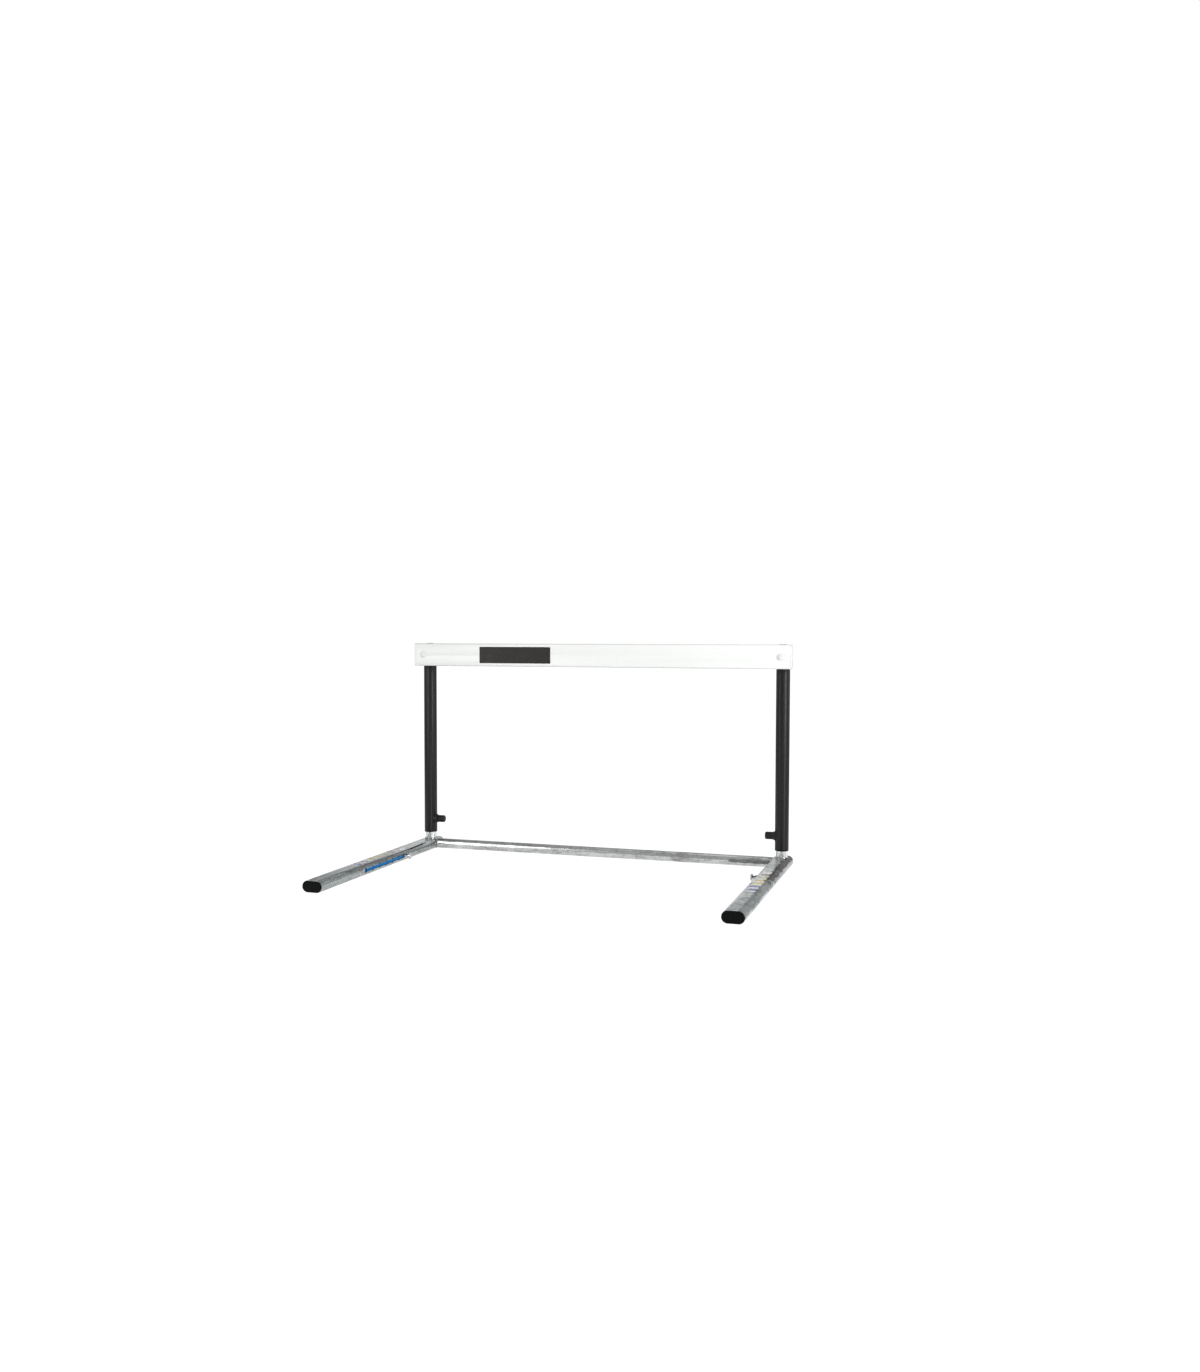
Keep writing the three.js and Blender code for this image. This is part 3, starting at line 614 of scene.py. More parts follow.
moulded_black = coated(
    "black moulding", (0.0035, 0.0037, 0.0042, 1), (0.04, 0.04, 0.04, 1), size=0.7 * mm, roughness=0.45,
    specular=0.08,
)
outer_y = -foot_end_y
cap_middle = (foot_x, outer_y + cap_flange / 2, foot_z)
foot_cap = add_flat_oval(cap_middle, foot_width - 2 * cap_rim, cap_flange, foot_height - 2 * cap_rim)
round_rim(foot_cap, 1, outer_y, cap_edge, steps=5)
pick("FACE", lambda face: face.normal.y < -0.99)
bpy.ops.mesh.inset(thickness=cap_lip)
extrude((0, cap_sink, 0))
bpy.ops.mesh.inset(thickness=cap_step)
grow_skirt(1, cap_skirt_inset, cap_skirt, cap_wall)
soften_edges(foot_cap, cap_break)
rear_cap = settle(copy_of(foot_cap), (2 * foot_x, 0, 0), (0, 0, pi))
finish_pair(foot_cap, "foot_front_plug", moulded_black, "base", "black_plastic", "foot_front_cap")
finish_pair(rear_cap, "foot_rear_plug", moulded_black, "base", "black_plastic", "foot_rear_cap")


# Cross tube: a round galvanised steel tube, 30 mm across, that joins the feet under the posts.
# Its ends are cut to the round sides of the feet and welded to them.
post_y = 344 * mm
cross_radius = 15 * mm
cross_wall = 2 * mm
cope_radius = foot_height / 2 + 0.3 * mm
tube_sides = 96

cross_tube = add_rod(cross_radius, (arc_x, post_y, foot_z), (-arc_x, post_y, foot_z), tube_sides)
hollow_out(cross_tube, cross_wall, axis=0)
for end_x in (arc_x, -arc_x):
    cope_start = (end_x, post_y - 2 * cross_radius, foot_z)
    cope_end = (end_x, post_y + 2 * cross_radius, foot_z)
    carve(cross_tube, add_rod(cope_radius, cope_start, cope_end, tube_sides))
# Painted reflection on the cross tube: a dark band along its front, where the dark room is mirrored.
cross_zinc = galvanised(
    "zinc of the cross tube", draw=(0.22, 1, 1), bright=(0.72, 0.74, 0.74, 1), dull=(0.26, 0.26, 0.25, 1),
    dark_reflection_patches=[((478, 330, 17), (68, 9, 5), 0.82)],
)
finish(cross_tube, "cross_bar", cross_zinc, "base", "galvanised_steel", "cross_tube")


# Posts: round galvanised steel tubes, 34 mm across, welded upright on the feet near their rear ends.
# Seven holes on the inner side of each take the plunger's pin. Sliding has polished the zinc upright.
post_radius = 17 * mm
post_wall = 2 * mm
post_bottom = 32.2 * mm
post_top = 590 * mm
pin_z = 94 * mm
height_step = 69.5 * mm
pin_hole_radius = 4.5 * mm


def add_upright(radius, low, high):
    """A round rod on the axis of the left post, between two heights."""
    return add_rod(radius, (foot_x, post_y, low), (foot_x, post_y, high), tube_sides)


post = add_upright(post_radius, post_bottom, post_top)
hollow_out(post, post_wall, axis=2)
for hole in range(notch_count):
    hole_z = pin_z + hole * height_step
    hole_end = (foot_x + 2 * post_radius, post_y, hole_z)
    carve(post, add_rod(pin_hole_radius, (foot_x, post_y, hole_z), hole_end))
soften_edges(post, tube_edge)
post_zinc = galvanised(
    "zinc of a post", draw=(2.6, 2.6, 0.1), bright=(0.93, 0.95, 0.94, 1), dull=(0.38, 0.39, 0.38, 1),
    metallic=0.7,
)
finish_pair(post, "post", post_zinc, "base", "galvanised_steel", "post_tube")


# Weld beads: the fillets that hold the posts on the feet and the cross tube between them.
# Each is a ring of overlapping drops laid along the joint, galvanised over with the rest of the base.
bead_sides = 12
bead_rings = 96
bead_thickness = 2.3 * mm
ripple_rings = 4
ripple_share = 0.14
bead_lift = 0.3 * mm
post_bead_radius = post_radius + 0.7 * mm
post_bead_z = foot_height + 0.5 * mm
cross_bead_radius = cross_radius + 0.2 * mm
cross_bead_x = arc_x + 0.7 * mm


def weld_bead(radius, middle, turn, offset_of):
    """A ring-shaped bead in a joint. Each of its rings is moved by its own offset and swells like a drop."""
    bpy.ops.mesh.primitive_torus_add(
        major_segments=bead_rings, minor_segments=bead_sides, major_radius=radius,
        minor_radius=bead_thickness, location=middle, rotation=turn,
    )
    bead = edit(settle(bpy.context.object))
    bpy.ops.mesh.select_mode(type="VERT")
    for ring in range(bead_rings):
        bpy.ops.mesh.select_all(action="DESELECT")
        mesh = bmesh.from_edit_mesh(bead.data)
        mesh.verts.ensure_lookup_table()
        members = [mesh.verts[ring * bead_sides + side] for side in range(bead_sides)]
        for vertex in members:
            vertex.select_set(True)
        mesh.select_flush(True)
        heart = sum((vertex.co for vertex in members), Vector()) / bead_sides
        bmesh.update_edit_mesh(bead.data)
        swell = 1 - ripple_share * (ring % ripple_rings) / ripple_rings
        bpy.ops.transform.resize(value=(swell, swell, swell), center_override=heart)
        bpy.ops.transform.translate(value=offset_of(heart))
    face_outwards()
    modify(bead, "SUBSURF", levels=1, render_levels=1)
    return bead


def foot_fall(heart):
    """How far the top of the foot lies below its flat under a point of the post's joint."""
    beyond = max(0.0, abs(heart.x - foot_x) - (foot_width - foot_height) / 2)
    return Vector((0, 0, sqrt((foot_height / 2) ** 2 - beyond**2) - foot_height / 2))


def foot_bulge(heart):
    """How far the round side of the foot stands out at the height of a point of the cross tube's joint."""
    rise = min(abs(heart.z - foot_z), foot_height / 2)
    return Vector((sqrt((foot_height / 2) ** 2 - rise**2), 0, 0))


weld_zinc = galvanised(
    "zinc of the welds", draw=(1, 1, 1), bright=(0.66, 0.68, 0.68, 1), dull=(0.36, 0.37, 0.36, 1)
)
post_bead = weld_bead(post_bead_radius, (foot_x, post_y, post_bead_z), (0, 0, 0), foot_fall)
finish_pair(post_bead, "post_weld", weld_zinc, "base", "galvanised_steel")
cross_bead = weld_bead(cross_bead_radius, (cross_bead_x, post_y, foot_z), (0, pi / 2, 0), foot_bulge)
edit(cross_bead)
select_all()
bpy.ops.mesh.bisect(plane_co=(0, 0, bead_lift), plane_no=(0, 0, -1), use_fill=True, clear_outer=True)
leave_edit()
finish_pair(cross_bead, "cross_weld", weld_zinc, "base", "galvanised_steel")


# Height tapes: short strips of adhesive film across the top of each foot, one to a notch. The rear half
# of each is coloured and the front half white. They are rubbed and faded, more so on the left foot.
tape_width = 24 * mm
tape_length = 24 * mm
tape_low = 32.1 * mm
tape_high = 32.4 * mm
tape_edge = 0.6 * mm
tape_corner = 1.2 * mm
tape_break = 0.08 * mm
print_grain = 0.9 * mm
rub_size = 6 * mm
film_relief = 0.03 * mm
tape_white = (0.85, 0.85, 0.84, 1)
tape_bare = (0.34, 0.35, 0.34, 1)
tape_colours = [
    (0.74, 0.73, 0.72, 1),
    (0.2, 0.0, 0.01, 1),
    (0.42, 0.46, 0.0, 1),
    (0.62, 0.42, 0.0, 1),
    (0.7, 0.68, 0.08, 1),
    (0.2, 0.17, 0.56, 1),
    (0.03, 0.03, 0.4, 1),
]


def tape_finish(name, colour, middle_y, rubbed, faded):
    """Semi-gloss film with a scuffed print. Where it is rubbed the dull grey of the foot shows through."""
    material, shader, place = new_finish(name, metallic=0.0, specular=0.12)
    grain = use_group(grain_group, Place=place, Size=print_grain)
    drawn = stretched(place, (1, 0.35, 1))
    scuffs = use_group(scuff_group, Drawn=drawn, Amount=0.16)["Mask"]
    rubs = noise(place, rub_size, detail=4, roughness=0.65)
    thin = spread(rubs, 0.62 - rubbed, 0.78 - rubbed)
    bare = math("MAXIMUM", thin, math("MULTIPLY", scuffs, 0.6))
    rough = spread(grain["Mottle"], *mottle_range, 0.4, 0.56)
    front = spread(axes_of(place)["Y"], middle_y + tape_edge, middle_y - tape_edge)
    print_colour = blended(faded, blended(front, colour, tape_white), tape_bare)
    dress(shader, blended(bare, print_colour, tape_bare), rough, grain["Height"], film_relief)
    return material


tape_middle = first_notch_y - tape_length / 4
tape_low_corner = (foot_x - tape_width / 2, tape_middle - tape_length / 2, tape_low)
tape_high_corner = (foot_x + tape_width / 2, tape_middle + tape_length / 2, tape_high)
first_tape = add_box(tape_low_corner, tape_high_corner, axis=2, corner=tape_corner, steps=5)
soften_edges(first_tape, tape_break)
for number, colour in enumerate(tape_colours, 1):
    forward = (1 - number) * notch_pitch
    tape = settle(copy_of(first_tape), (0, forward, 0))
    for side, piece, rubbed, faded in (("left", tape, 0.1, 0.25), ("right", mirrored(tape), -0.06, 0.0)):
        film = tape_finish(f"tape {number} {side}", colour, tape_middle + forward, rubbed, faded)
        node = f"height_stripe_{side}_{number}"
        finish(piece, f"{side}_tape_{number}", film, "base", f"tape_{number}", node)
bpy.data.objects.remove(first_tape, do_unlink=True)


# Weights: flat-oval steel bars that slide inside the feet, painted blue, each with a bore for its stud.
# The paint is worn paler at the edges. Painted shade darkens all but the band that shows in the slot, as the
# shadow of the slot's edges.
weight_width = 53.2 * mm
weight_height = 27.2 * mm
weight_front_y = -130.2 * mm
weight_back_y = 122 * mm
stud_bore_radius = 6 * mm
stud_bore_depth = 31.1 * mm
stud_recess_radius = 7 * mm
stud_recess_depth = 2.1 * mm
drill_past = 9 * mm
weight_edge = 0.8 * mm

weight_middle = (foot_x, (weight_front_y + weight_back_y) / 2, foot_z)
weight = add_flat_oval(weight_middle, weight_width, weight_back_y - weight_front_y, weight_height)
face_x = foot_x + weight_width / 2
past_face = (face_x + drill_past, first_notch_y, foot_z)
carve(
    weight,
    add_rod(stud_bore_radius, (face_x - stud_bore_depth, first_notch_y, foot_z), past_face),
    add_rod(stud_recess_radius, (face_x - stud_recess_depth, first_notch_y, foot_z), past_face),
)
soften_edges(weight, weight_edge, steps=3)
blue_paint = coated(
    "blue paint", (0.0, 0.172, 0.49, 1), (0.06, 0.22, 0.42, 1), size=1.6 * mm, roughness=0.4,
    draw=(1, 0.12, 1), specular=0.1, amount=-0.03, reach=0.02, depth=0.12 * mm,
    unshaded_band=(foot_z, 4.4 * mm, 5.6 * mm),
)
finish_pair(weight, "sliding_weight", blue_paint, "weight_{}", "blue_paint", "counterweight")


# Studs: turned from zinc-plated steel bar, one in each weight. The head is pulled by hand, and the
# collar drops into a notch of the foot. A brass bush and a nut in the bore hold its spring.
stud_profile = [
    (2.4, -1), (3, -0.4), (3, 4.2), (3.75, 4.6), (3.75, 24.6), (6.2, 24.8), (6.5, 25.2), (6.5, 33.4),
    (5.9, 34), (4.5, 34), (4.5, 40.6), (5.2, 41.5), (8.6, 41.5), (9.5, 42.4), (9.5, 45.5), (8.5, 46.5),
    (4.2, 46.5), (3.6, 45.7),
]
stud_bush_profile = [(4.05, 18.2), (5.7, 18.2), (5.7, 24.2), (4.05, 24.2)]
turned_merge = 0.005 * mm
fine_edge = 0.15 * mm
small_edge = 0.2 * mm
ring_size = 3 * mm
tarnish_size = 4 * mm
plate_relief = 0.06 * mm
# Painted shade on the studs: the band along X and the heights over which their tops are darkened.
shaded_band_middle = 32 * mm
shaded_band_reach = 10 * mm
shade_fade = 0.4 * mm
shade_rise = 2 * mm


def add_turned(profile, spot, turn=None, sides=96, closed=False):
    """A turned piece, made round by round from its radii and heights in millimetres, along +Z."""
    bpy.ops.mesh.primitive_circle_add(
        vertices=sides, radius=profile[0][0] * mm, location=(0, 0, profile[0][1] * mm),
        fill_type="NOTHING" if closed else "NGON",
    )
    piece = edit(settle(bpy.context.object))
    bpy.ops.mesh.select_mode(type="VERT")
    select_all()
    for (radius, height), (next_radius, next_height) in zip(profile, profile[1:] + profile[:1] * closed):
        rise = (next_height - height) * mm
        growth = next_radius / radius
        extrude((0, 0, rise))
        bpy.ops.transform.resize(value=(growth, growth, 1), center_override=(0, 0, next_height * mm))
    select_all()
    bpy.ops.mesh.remove_doubles(threshold=turned_merge)
    face_outwards()
    return settle(piece, spot, turn)


turned_group, turned_in, turned_out = new_group(
    "tool marks", {"Centred": "Vector"}, {"Height": "Float", "Shade": "Float"}
)
ring_values = {"Vector": turned_in["Centred"], "Scale": 1 / ring_size, "Distortion": 1.2, "Detail": 2.0}
ring_values["Detail Scale"] = 3.0
face_rings = add_node("TexWave", ring_values, wave_type="RINGS", rings_direction="X").outputs[1]
side_rings = add_node("TexWave", ring_values, wave_type="BANDS", bands_direction="X").outputs[1]
turned_marks = math("MULTIPLY", math("ADD", face_rings, side_rings), 0.5)
tarnish = noise(turned_in["Centred"], tarnish_size, detail=4, roughness=0.6)
tarnish = math("MULTIPLY_ADD", turned_marks, 0.2, tarnish)
feed(turned_out, {"Height": turned_marks, "Shade": tarnish})


def plated(
    name, centre, bright=(0.6, 0.62, 0.63, 1), tarnished=(0.25, 0.26, 0.26, 1), rough=0.26, shaded_above=None
):
    """Plated or bright metal, turned about a line along X through a centre.

    Painted shade may darken its top, above a height over its centre, within a band along X by the side of the
    foot.
    """
    material, shader, place = new_finish(name, metallic=1.0)
    turned_marks = use_group(turned_group, Centred=stretched(place, (1, 1, 1), centre))
    dull = spread(turned_marks["Shade"], 0.42, 0.85)
    roughness = spread(dull, 0, 1, rough, rough + 0.2)
    colour = blended(dull, bright, tarnished)
    # Painted shade on the top of the stud, where the notch shades it.
    if shaded_above:
        sides = axes_of(place)
        out = math("SUBTRACT", math("ABSOLUTE", sides["X"]), -foot_x - shaded_band_middle)
        share = spread(math("ABSOLUTE", out), shaded_band_reach, shaded_band_reach - shade_fade)
        height = math("MULTIPLY_ADD", dull, 0.002, sides["Z"])
        on_top = spread(height, centre[2] + shaded_above, centre[2] + shaded_above + shade_rise)
        share = math("MULTIPLY", share, math("MULTIPLY", on_top, 0.9))
        colour = blended(share, colour, painted_shade_colour)
        roughness = math("MULTIPLY_ADD", share, 0.2, roughness)
        feed(shader, {"Metallic": math("SUBTRACT", 1.0, share)})
    dress(shader, colour, roughness, turned_marks["Height"], plate_relief, strength=0.4)
    return material


def finish_inner(node, material):
    """Gives a finish to a pair of the model's own nodes, which stay as they are inside other pieces."""
    for side in ("left", "right"):
        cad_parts[f"{node}_{side}"].data.materials[0] = material


along_x = (0, pi / 2, 0)
stud_centre = (foot_x, first_notch_y, foot_z)
turning_centre = (0, first_notch_y, foot_z)
stud = add_turned(stud_profile, stud_centre, along_x)
soften_edges(stud, fine_edge)
# Lit and shaded copies: the left stud's zinc is painted brighter than the right's, and each has its own
# height of painted shade on top.
for side, piece, bright, tarnished, shaded_above in (
    ("left", stud, (0.82, 0.84, 0.85, 1), (0.36, 0.37, 0.37, 1), 2.7 * mm),
    ("right", mirrored(stud), (0.72, 0.74, 0.75, 1), (0.3, 0.31, 0.31, 1), 1 * mm),
):
    stud_zinc = plated(f"zinc plate of the {side} stud", turning_centre, bright, tarnished, 0.14, shaded_above)
    finish(piece, f"{side}_locking_stud", stud_zinc, f"stud_{side}", "zinc_plate", f"weight_stud_{side}")
finish_inner("stud_nut", stud_zinc)

stud_bush = add_turned(stud_bush_profile, stud_centre, along_x, sides=64, closed=True)
soften_edges(stud_bush, small_edge)
brass = plated(
    "brass of the stud bushes", turning_centre, (0.62, 0.42, 0.17, 1), (0.3, 0.19, 0.08, 1), rough=0.3
)
finish_pair(stud_bush, "brass_bush", brass, "weight_{}", "brass_bush", "stud_bush")

spring_wire = plated(
    "drawn spring wire", turning_centre, (0.4, 0.41, 0.42, 1), (0.18, 0.18, 0.19, 1), rough=0.3
)
wire_radius = 0.45 * mm
wire_sides = 12
coil_turns = 5
coil_steps = 32
stud_coil_radius = 4.9 * mm
stud_coil_start = 4.3 * mm
stud_coil_end = 17.9 * mm


def add_coil(radius, start, end, spot):
    """A compression spring of round wire along +X, between two distances from a spot."""
    bpy.ops.mesh.primitive_circle_add(
        vertices=wire_sides, radius=wire_radius, location=(start + wire_radius, radius, 0)
    )
    coil = settle(bpy.context.object)
    rise = (end - start - 2 * wire_radius) / coil_turns
    steps = {"steps": coil_steps, "render_steps": coil_steps}
    modify(coil, "SCREW", axis="X", iterations=coil_turns, screw_offset=rise, **steps)
    edit(coil)
    select_all()
    bpy.ops.mesh.fill_holes(sides=0)
    face_outwards()
    return settle(coil, spot)


def finish_springs(left_coil, name, body, node):
    """Finishes a pair of springs and gives each a mesh of its own."""
    for side, way, coil in (("left", 1, left_coil), ("right", -1, mirrored(left_coil))):
        finish(coil, f"{side}_{name}", spring_wire, body.format(side), "spring_steel", f"{node}_{side}")
        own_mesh(coil)


stud_coil = add_coil(stud_coil_radius, stud_coil_start, stud_coil_end, stud_centre)
finish_springs(
    stud_coil, "stud_coil", "weight_{}", "stud_spring",
)


# Guide plugs: black moulded plugs in the tops of the posts, whose collars run in the sleeves.
# They stay out of sight inside the sleeves at every height.
finish_inner("post_guide_plug", moulded_black)


# Sleeves: round steel tubes, 40 mm across, that slide on the posts and carry the bar.
# They are powder-coated satin black. Each has a hole for the plunger's pin and one for the bar's bolt.
sleeve_radius = 20 * mm
sleeve_wall = 1.5 * mm
sleeve_bottom = 55 * mm
sleeve_top = 646.5 * mm
bar_z = 615 * mm
bolt_hole_radius = 4.3 * mm
sleeve_edge = 0.3 * mm


def bolt_drill(low_y, high_y, bolt_x=foot_x):
    """A rod on the axis of a bolt of the bar, to cut its hole with."""
    return add_rod(bolt_hole_radius, (bolt_x, low_y, bar_z), (bolt_x, high_y, bar_z))


sleeve = add_upright(sleeve_radius, sleeve_bottom, sleeve_top)
hollow_out(sleeve, sleeve_wall, axis=2)
carve(
    sleeve,
    add_rod(pin_hole_radius, (foot_x, post_y, pin_z), (foot_x + 2 * sleeve_radius, post_y, pin_z)),
    bolt_drill(post_y - 2 * sleeve_radius, post_y + 2 * sleeve_radius),
)
soften_edges(sleeve, sleeve_edge)
black_paint = coated(
    "black powder coat", (0.0095, 0.0095, 0.0098, 1), (0.06, 0.06, 0.058, 1), size=1.1 * mm, roughness=0.38,
    draw=(1, 1, 0.08), specular=0.3, amount=0.05,
)
finish_pair(sleeve, "sleeve", black_paint, "upper_frame", "black_paint", "sleeve_tube")


# Sleeve bushes and caps: black mouldings pushed into the sleeve's two ends. The bush has a thin
# flange under the tube and a liner that runs on the post. The cap closes the top with a low crown.
bush_profile = [
    (17.3, 52.3), (17.7, 52), (19.2, 52), (20, 52.8), (20, 54.7), (18.2, 54.7), (18.2, 77), (17.3, 77),
]
cap_seat = 646.8
cap_crown_steps = 8
cap_stem_end = cap_seat - 14
cap_stem_profile = [
    (16.2, cap_seat), (16.2, cap_stem_end), (18.1, cap_stem_end), (18.1, cap_seat), (19.4, cap_seat),
    (20, cap_seat + 0.3),
]
angles = [step / cap_crown_steps * pi / 2 for step in range(cap_crown_steps)]
crown = [(20 * cos(angle), cap_seat + 0.8 + 3.2 * sin(angle)) for angle in angles]

post_foot = (foot_x, post_y, 0)
bush = add_turned(bush_profile, post_foot, closed=True)
soften_edges(bush, small_edge)
finish_pair(bush, "sleeve_liner", moulded_black, "upper_frame", "black_plastic", "sleeve_bush")
top_cap = add_turned(cap_stem_profile + crown, post_foot)
soften_edges(top_cap, fine_edge)
finish_pair(top_cap, "sleeve_top", moulded_black, "upper_frame", "black_plastic", "sleeve_cap")


# Saddles: black moulded blocks between the flat back of the bar and the round of each sleeve.
# The bar's bolt goes through them and draws both faces tight.
bar_back_y = post_y - 24 * mm
saddle_half = Vector((15, 0, 25)) * mm
saddle_depth = 13.2 * mm
saddle_gap = 0.2 * mm
saddle_corner = 3 * mm
saddle_round = sleeve_radius + 0.15 * mm
saddle_edge = 0.5 * mm
drill_start = 5 * mm

saddle_low = (foot_x - saddle_half.x, bar_back_y + saddle_gap, bar_z - saddle_half.z)
saddle_high = (foot_x + saddle_half.x, post_y - saddle_depth, bar_z + saddle_half.z)
saddle = add_box(saddle_low, saddle_high, axis=1, corner=saddle_corner, steps=6)
carve(
    saddle,
    add_upright(saddle_round, bar_z - 2 * saddle_half.z, bar_z + 2 * saddle_half.z),
    bolt_drill(bar_back_y - drill_start, post_y),
)
soften_edges(saddle, saddle_edge)
finish_pair(saddle, "saddle_block", moulded_black, "upper_frame", "black_plastic", "bar_saddle")


# Bar: a hollow profile of white PVC, 70 by 25 mm, extruded with rounded corners and a 2.2 mm wall.
# It is drilled front to back for its two bolts. Fine lines run along it from the extruder's die.
bar_tube_half = 587 * mm
bar_low = Vector((-bar_tube_half, 295 * mm, 580 * mm))
bar_high = Vector((bar_tube_half, 320 * mm, 650 * mm))
bar_corner = 5 * mm
bar_corner_steps = 10
bar_wall = 2.2 * mm
die_line_size = 1.4 * mm
white_grain = 2.2 * mm
white_relief = 0.04 * mm
# Clean white, the grey of handling marks and of the painted shade along the edges, and the band over which
# that shade comes in.
clean_white = (0.885, 0.905, 0.885, 1)
marked_and_shaded_white = (0.62, 0.63, 0.61, 1)
shaded_edge_band = (31.5 * mm, 34.5 * mm)

bar = add_box(bar_low, bar_high, 0, bar_corner, bar_corner_steps)
hollow_out(bar, bar_wall, axis=0)
for bolt_x in (foot_x, -foot_x):
    carve(bar, bolt_drill(bar_low.y - drill_start, bar_high.y + drill_start, bolt_x))
soften_edges(bar, small_edge)


def white_plastic(name, draw, lines):
    """Smooth white plastic with faint lines drawn along it, grey handling marks, and painted shade along its
    top and bottom edges.
    """
    material, shader, place = new_finish(name, metallic=0.0)
    grain = use_group(grain_group, Place=place, Size=white_grain)
    drawn = stretched(place, draw)
    die_lines = noise(drawn, die_line_size, roughness=0.6)
    scuffs = use_group(scuff_group, Drawn=drawn, Amount=0.0)["Mask"]
    shade = math("MULTIPLY", spread(die_lines, 0.3, 0.7), lines)
    shade = math("MAXIMUM", shade, math("MULTIPLY", scuffs, 0.12))
    # Painted shade on the top and bottom edges, where less light falls.
    from_middle = math("ABSOLUTE", math("SUBTRACT", axes_of(place)["Z"], bar_z))
    shade = math("MAXIMUM", shade, spread(from_middle, *shaded_edge_band, 0, 0.75))
    rough = spread(grain["Mottle"], *mottle_range, 0.26, 0.36)
    rough = math("MULTIPLY_ADD", scuffs, 0.2, rough)
    relief = math("MULTIPLY_ADD", die_lines, 0.5, math("MULTIPLY", grain["Height"], 0.3))
    dress(shader, blended(shade, clean_white, marked_and_shaded_white), rough, relief, white_relief, strength=0.5)
    return material


bar_white = white_plastic("white extruded PVC", draw=(0.01, 1, 1), lines=0.035)
finish(bar, "crossbar", bar_white, "upper_frame", "white_pvc", "bar_profile")


# Bar end caps: white mouldings pushed into the ends of the bar with a hollow skirt. The flange has
# the bar's own outline and a rounded edge.
bar_end_x = -590 * mm
bar_flange = 2.7 * mm
bar_rim = 0.9 * mm
bar_skirt_inset = bar_wall + 0.3 * mm
bar_skirt = 15 * mm
bar_skirt_wall = 2 * mm

flange_high = (bar_end_x + bar_flange, bar_high.y, bar_high.z)
end_cap = add_box((bar_end_x, bar_low.y, bar_low.z), flange_high, 0, bar_corner, bar_corner_steps)
round_rim(end_cap, 0, bar_end_x, bar_rim, steps=4)
grow_skirt(0, bar_skirt_inset, bar_skirt, bar_skirt_wall)
soften_edges(end_cap, small_edge)
cap_white = white_plastic("white moulding", draw=(1, 1, 1), lines=0.03)
finish_pair(end_cap, "bar_end", cap_white, "upper_frame", "white_pvc", "bar_end_cap")


# Label: a strip of dark brown-black adhesive film on the front of the bar, left of its middle.
# It is left blank, with the softly uneven sheen of a laminated print.
label_low = Vector((-369, 294.1, 590)) * mm
label_high = Vector((-138, 294.7, 640)) * mm
label_corner = 2 * mm
label_margin = 1.2 * mm

label = add_box(label_low, label_high, axis=1, corner=label_corner, steps=6)
edit(label)
pick("FACE", lambda face: face.normal.y < -0.9)
bpy.ops.mesh.inset(thickness=label_margin)
leave_edit()
soften_edges(label, fine_edge)
label_film = coated(
    "dark label film", (0.026, 0.023, 0.0205, 1), (0.1, 0.09, 0.08, 1), size=1.8 * mm, roughness=0.36,
    draw=(0.2, 1, 1), specular=0.2, amount=0.06,
)
finish(label, "blank_label", label_film, "upper_frame", "label_vinyl", "bar_label")


# Bolts and nuts: carriage bolts with low domed heads, painted white with the bar, through bar, saddle
# and sleeve. Zinc-plated flange nuts hold them behind the sleeves.
bolt_profile = [
    (3.5, -30.5), (4, -30), (4, 49.1), (8.9, 49.1), (9.5, 49.6), (9.5, 50.4), (9.2, 51), (8.5, 51.7),
    (7.2, 52.4), (5.5, 53), (3.5, 53.5), (1.5, 53.8),
]
nut_profile = [(4.3, 20.1), (8, 20.1), (8.5, 20.6), (8.5, 21.2), (7.4, 21.9), (4.3, 21.9)]
nut_corner_radius = 7.5 * mm
nut_low_y = post_y + 21.6 * mm
nut_high_y = post_y + 28.3 * mm
nut_edge = 0.6 * mm

bolt_foot = (foot_x, post_y, bar_z)
bolt = add_turned(bolt_profile, bolt_foot, (pi / 2, 0, 0))
soften_edges(bolt, fine_edge)
white_paint = coated(
    "white paint on the bolts", (0.8, 0.81, 0.79, 1), (0.42, 0.42, 0.4, 1), size=1.2 * mm, roughness=0.32,
    amount=0.06, reach=0.02,
)
finish_pair(bolt, "carriage_bolt", white_paint, "upper_frame", "white_paint", "bar_bolt")

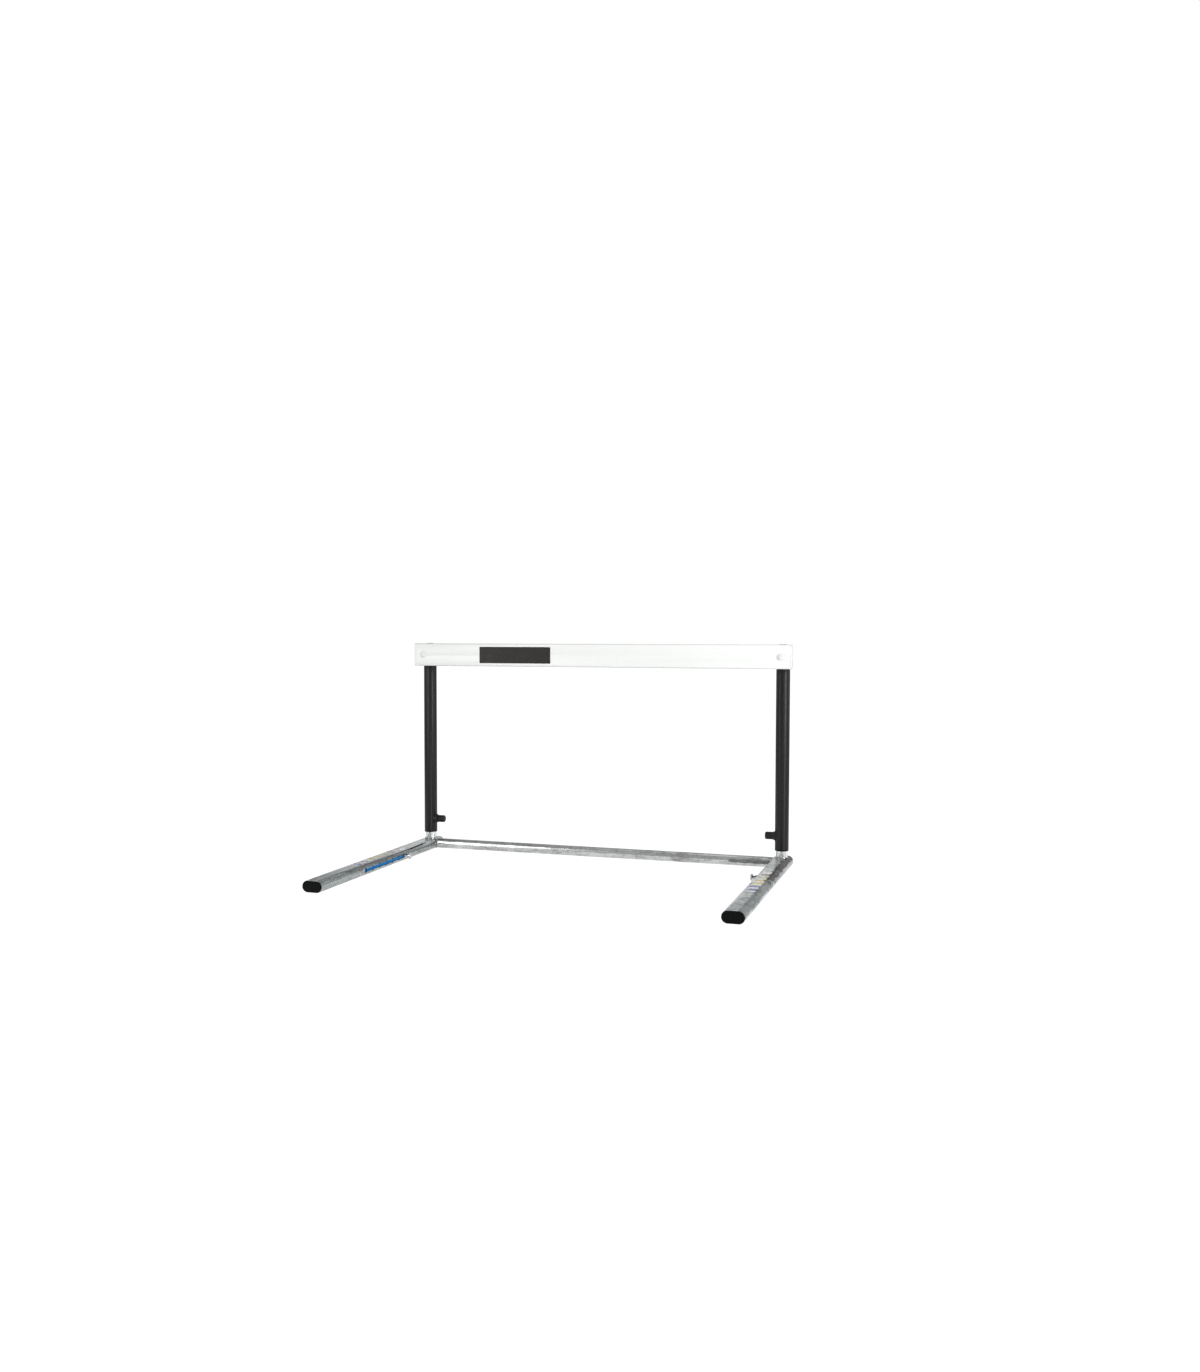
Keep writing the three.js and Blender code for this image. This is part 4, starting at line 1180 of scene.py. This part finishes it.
nut = add_rod(nut_corner_radius, (foot_x, nut_low_y, bar_z), (foot_x, nut_high_y, bar_z), sides=6)
carve(nut, bolt_drill(post_y, nut_high_y + drill_past))
soften_edges(nut, nut_edge, steps=3)
nut_flange = add_turned(nut_profile, bolt_foot, (-pi / 2, 0, 0), sides=64, closed=True)
activate(nut)
nut_flange.select_set(True)
bpy.ops.object.join()
nut_zinc = plated("zinc plate of the nuts", (foot_x, post_y, bar_z))
finish_pair(nut, "flange_nut", nut_zinc, "upper_frame", "zinc_plate", "bar_nut")


# Plungers: a turned steel housing is welded to the inner side of each sleeve and coated with it.
# Inside, a spring pushes the pin through the sleeve into the post, and a black knob pulls it back.
housing_profile = [
    (15.6, 12), (15.6, 19.6), (14.2, 20.2), (12.9, 21.4), (12.2, 23.2), (11.9, 25), (11.4, 26.7), (10.9, 27),
    (7, 27), (7, 40.4), (6.6, 40.8), (3.4, 40.8), (3.4, 39.2), (5.3, 39.2), (5.3, 24.2), (4.4, 24.2),
    (4.4, 12),
]
knob_profile = [
    (3.3, 45.6), (3.3, 41.1), (7.3, 41.1), (7.3, 27.5), (10, 27.3), (10.7, 27.8), (11, 28.6), (11, 44.3),
    (10.7, 46.1), (9.9, 47.4), (8.7, 48.2), (7.6, 48.3), (6.6, 48.1), (5.6, 47.5), (3, 47.3),
]
plunger_coil_radius = 4.15 * mm
plunger_coil_start = 26.6 * mm
plunger_coil_end = 39 * mm
boss_round = sleeve_radius - 0.1 * mm
boss_reach = 40 * mm

plunger_spot = (foot_x, post_y, pin_z)
housing = add_turned(housing_profile, plunger_spot, along_x, closed=True)
carve(housing, add_upright(boss_round, pin_z - boss_reach, pin_z + boss_reach))
soften_edges(housing, small_edge)
finish_pair(housing, "plunger_boss", black_paint, "upper_frame", "black_paint", "plunger_housing")

plunger_coil = add_coil(plunger_coil_radius, plunger_coil_start, plunger_coil_end, plunger_spot)
finish_springs(
    plunger_coil, "plunger_coil", "upper_frame", "plunger_spring",
)

knob = add_turned(knob_profile, plunger_spot, along_x)
soften_edges(knob, fine_edge)
knob_black = coated(
    "black knob moulding", (0.0125, 0.0125, 0.0128, 1), (0.06, 0.06, 0.06, 1), size=0.6 * mm, roughness=0.42,
    specular=0.25,
)
finish_pair(knob, "pull_knob", knob_black, "plunger_{}", "black_plastic", "plunger_knob")

finish_inner("plunger_pin", plated("zinc plate of the pins", (0, post_y, pin_z)))
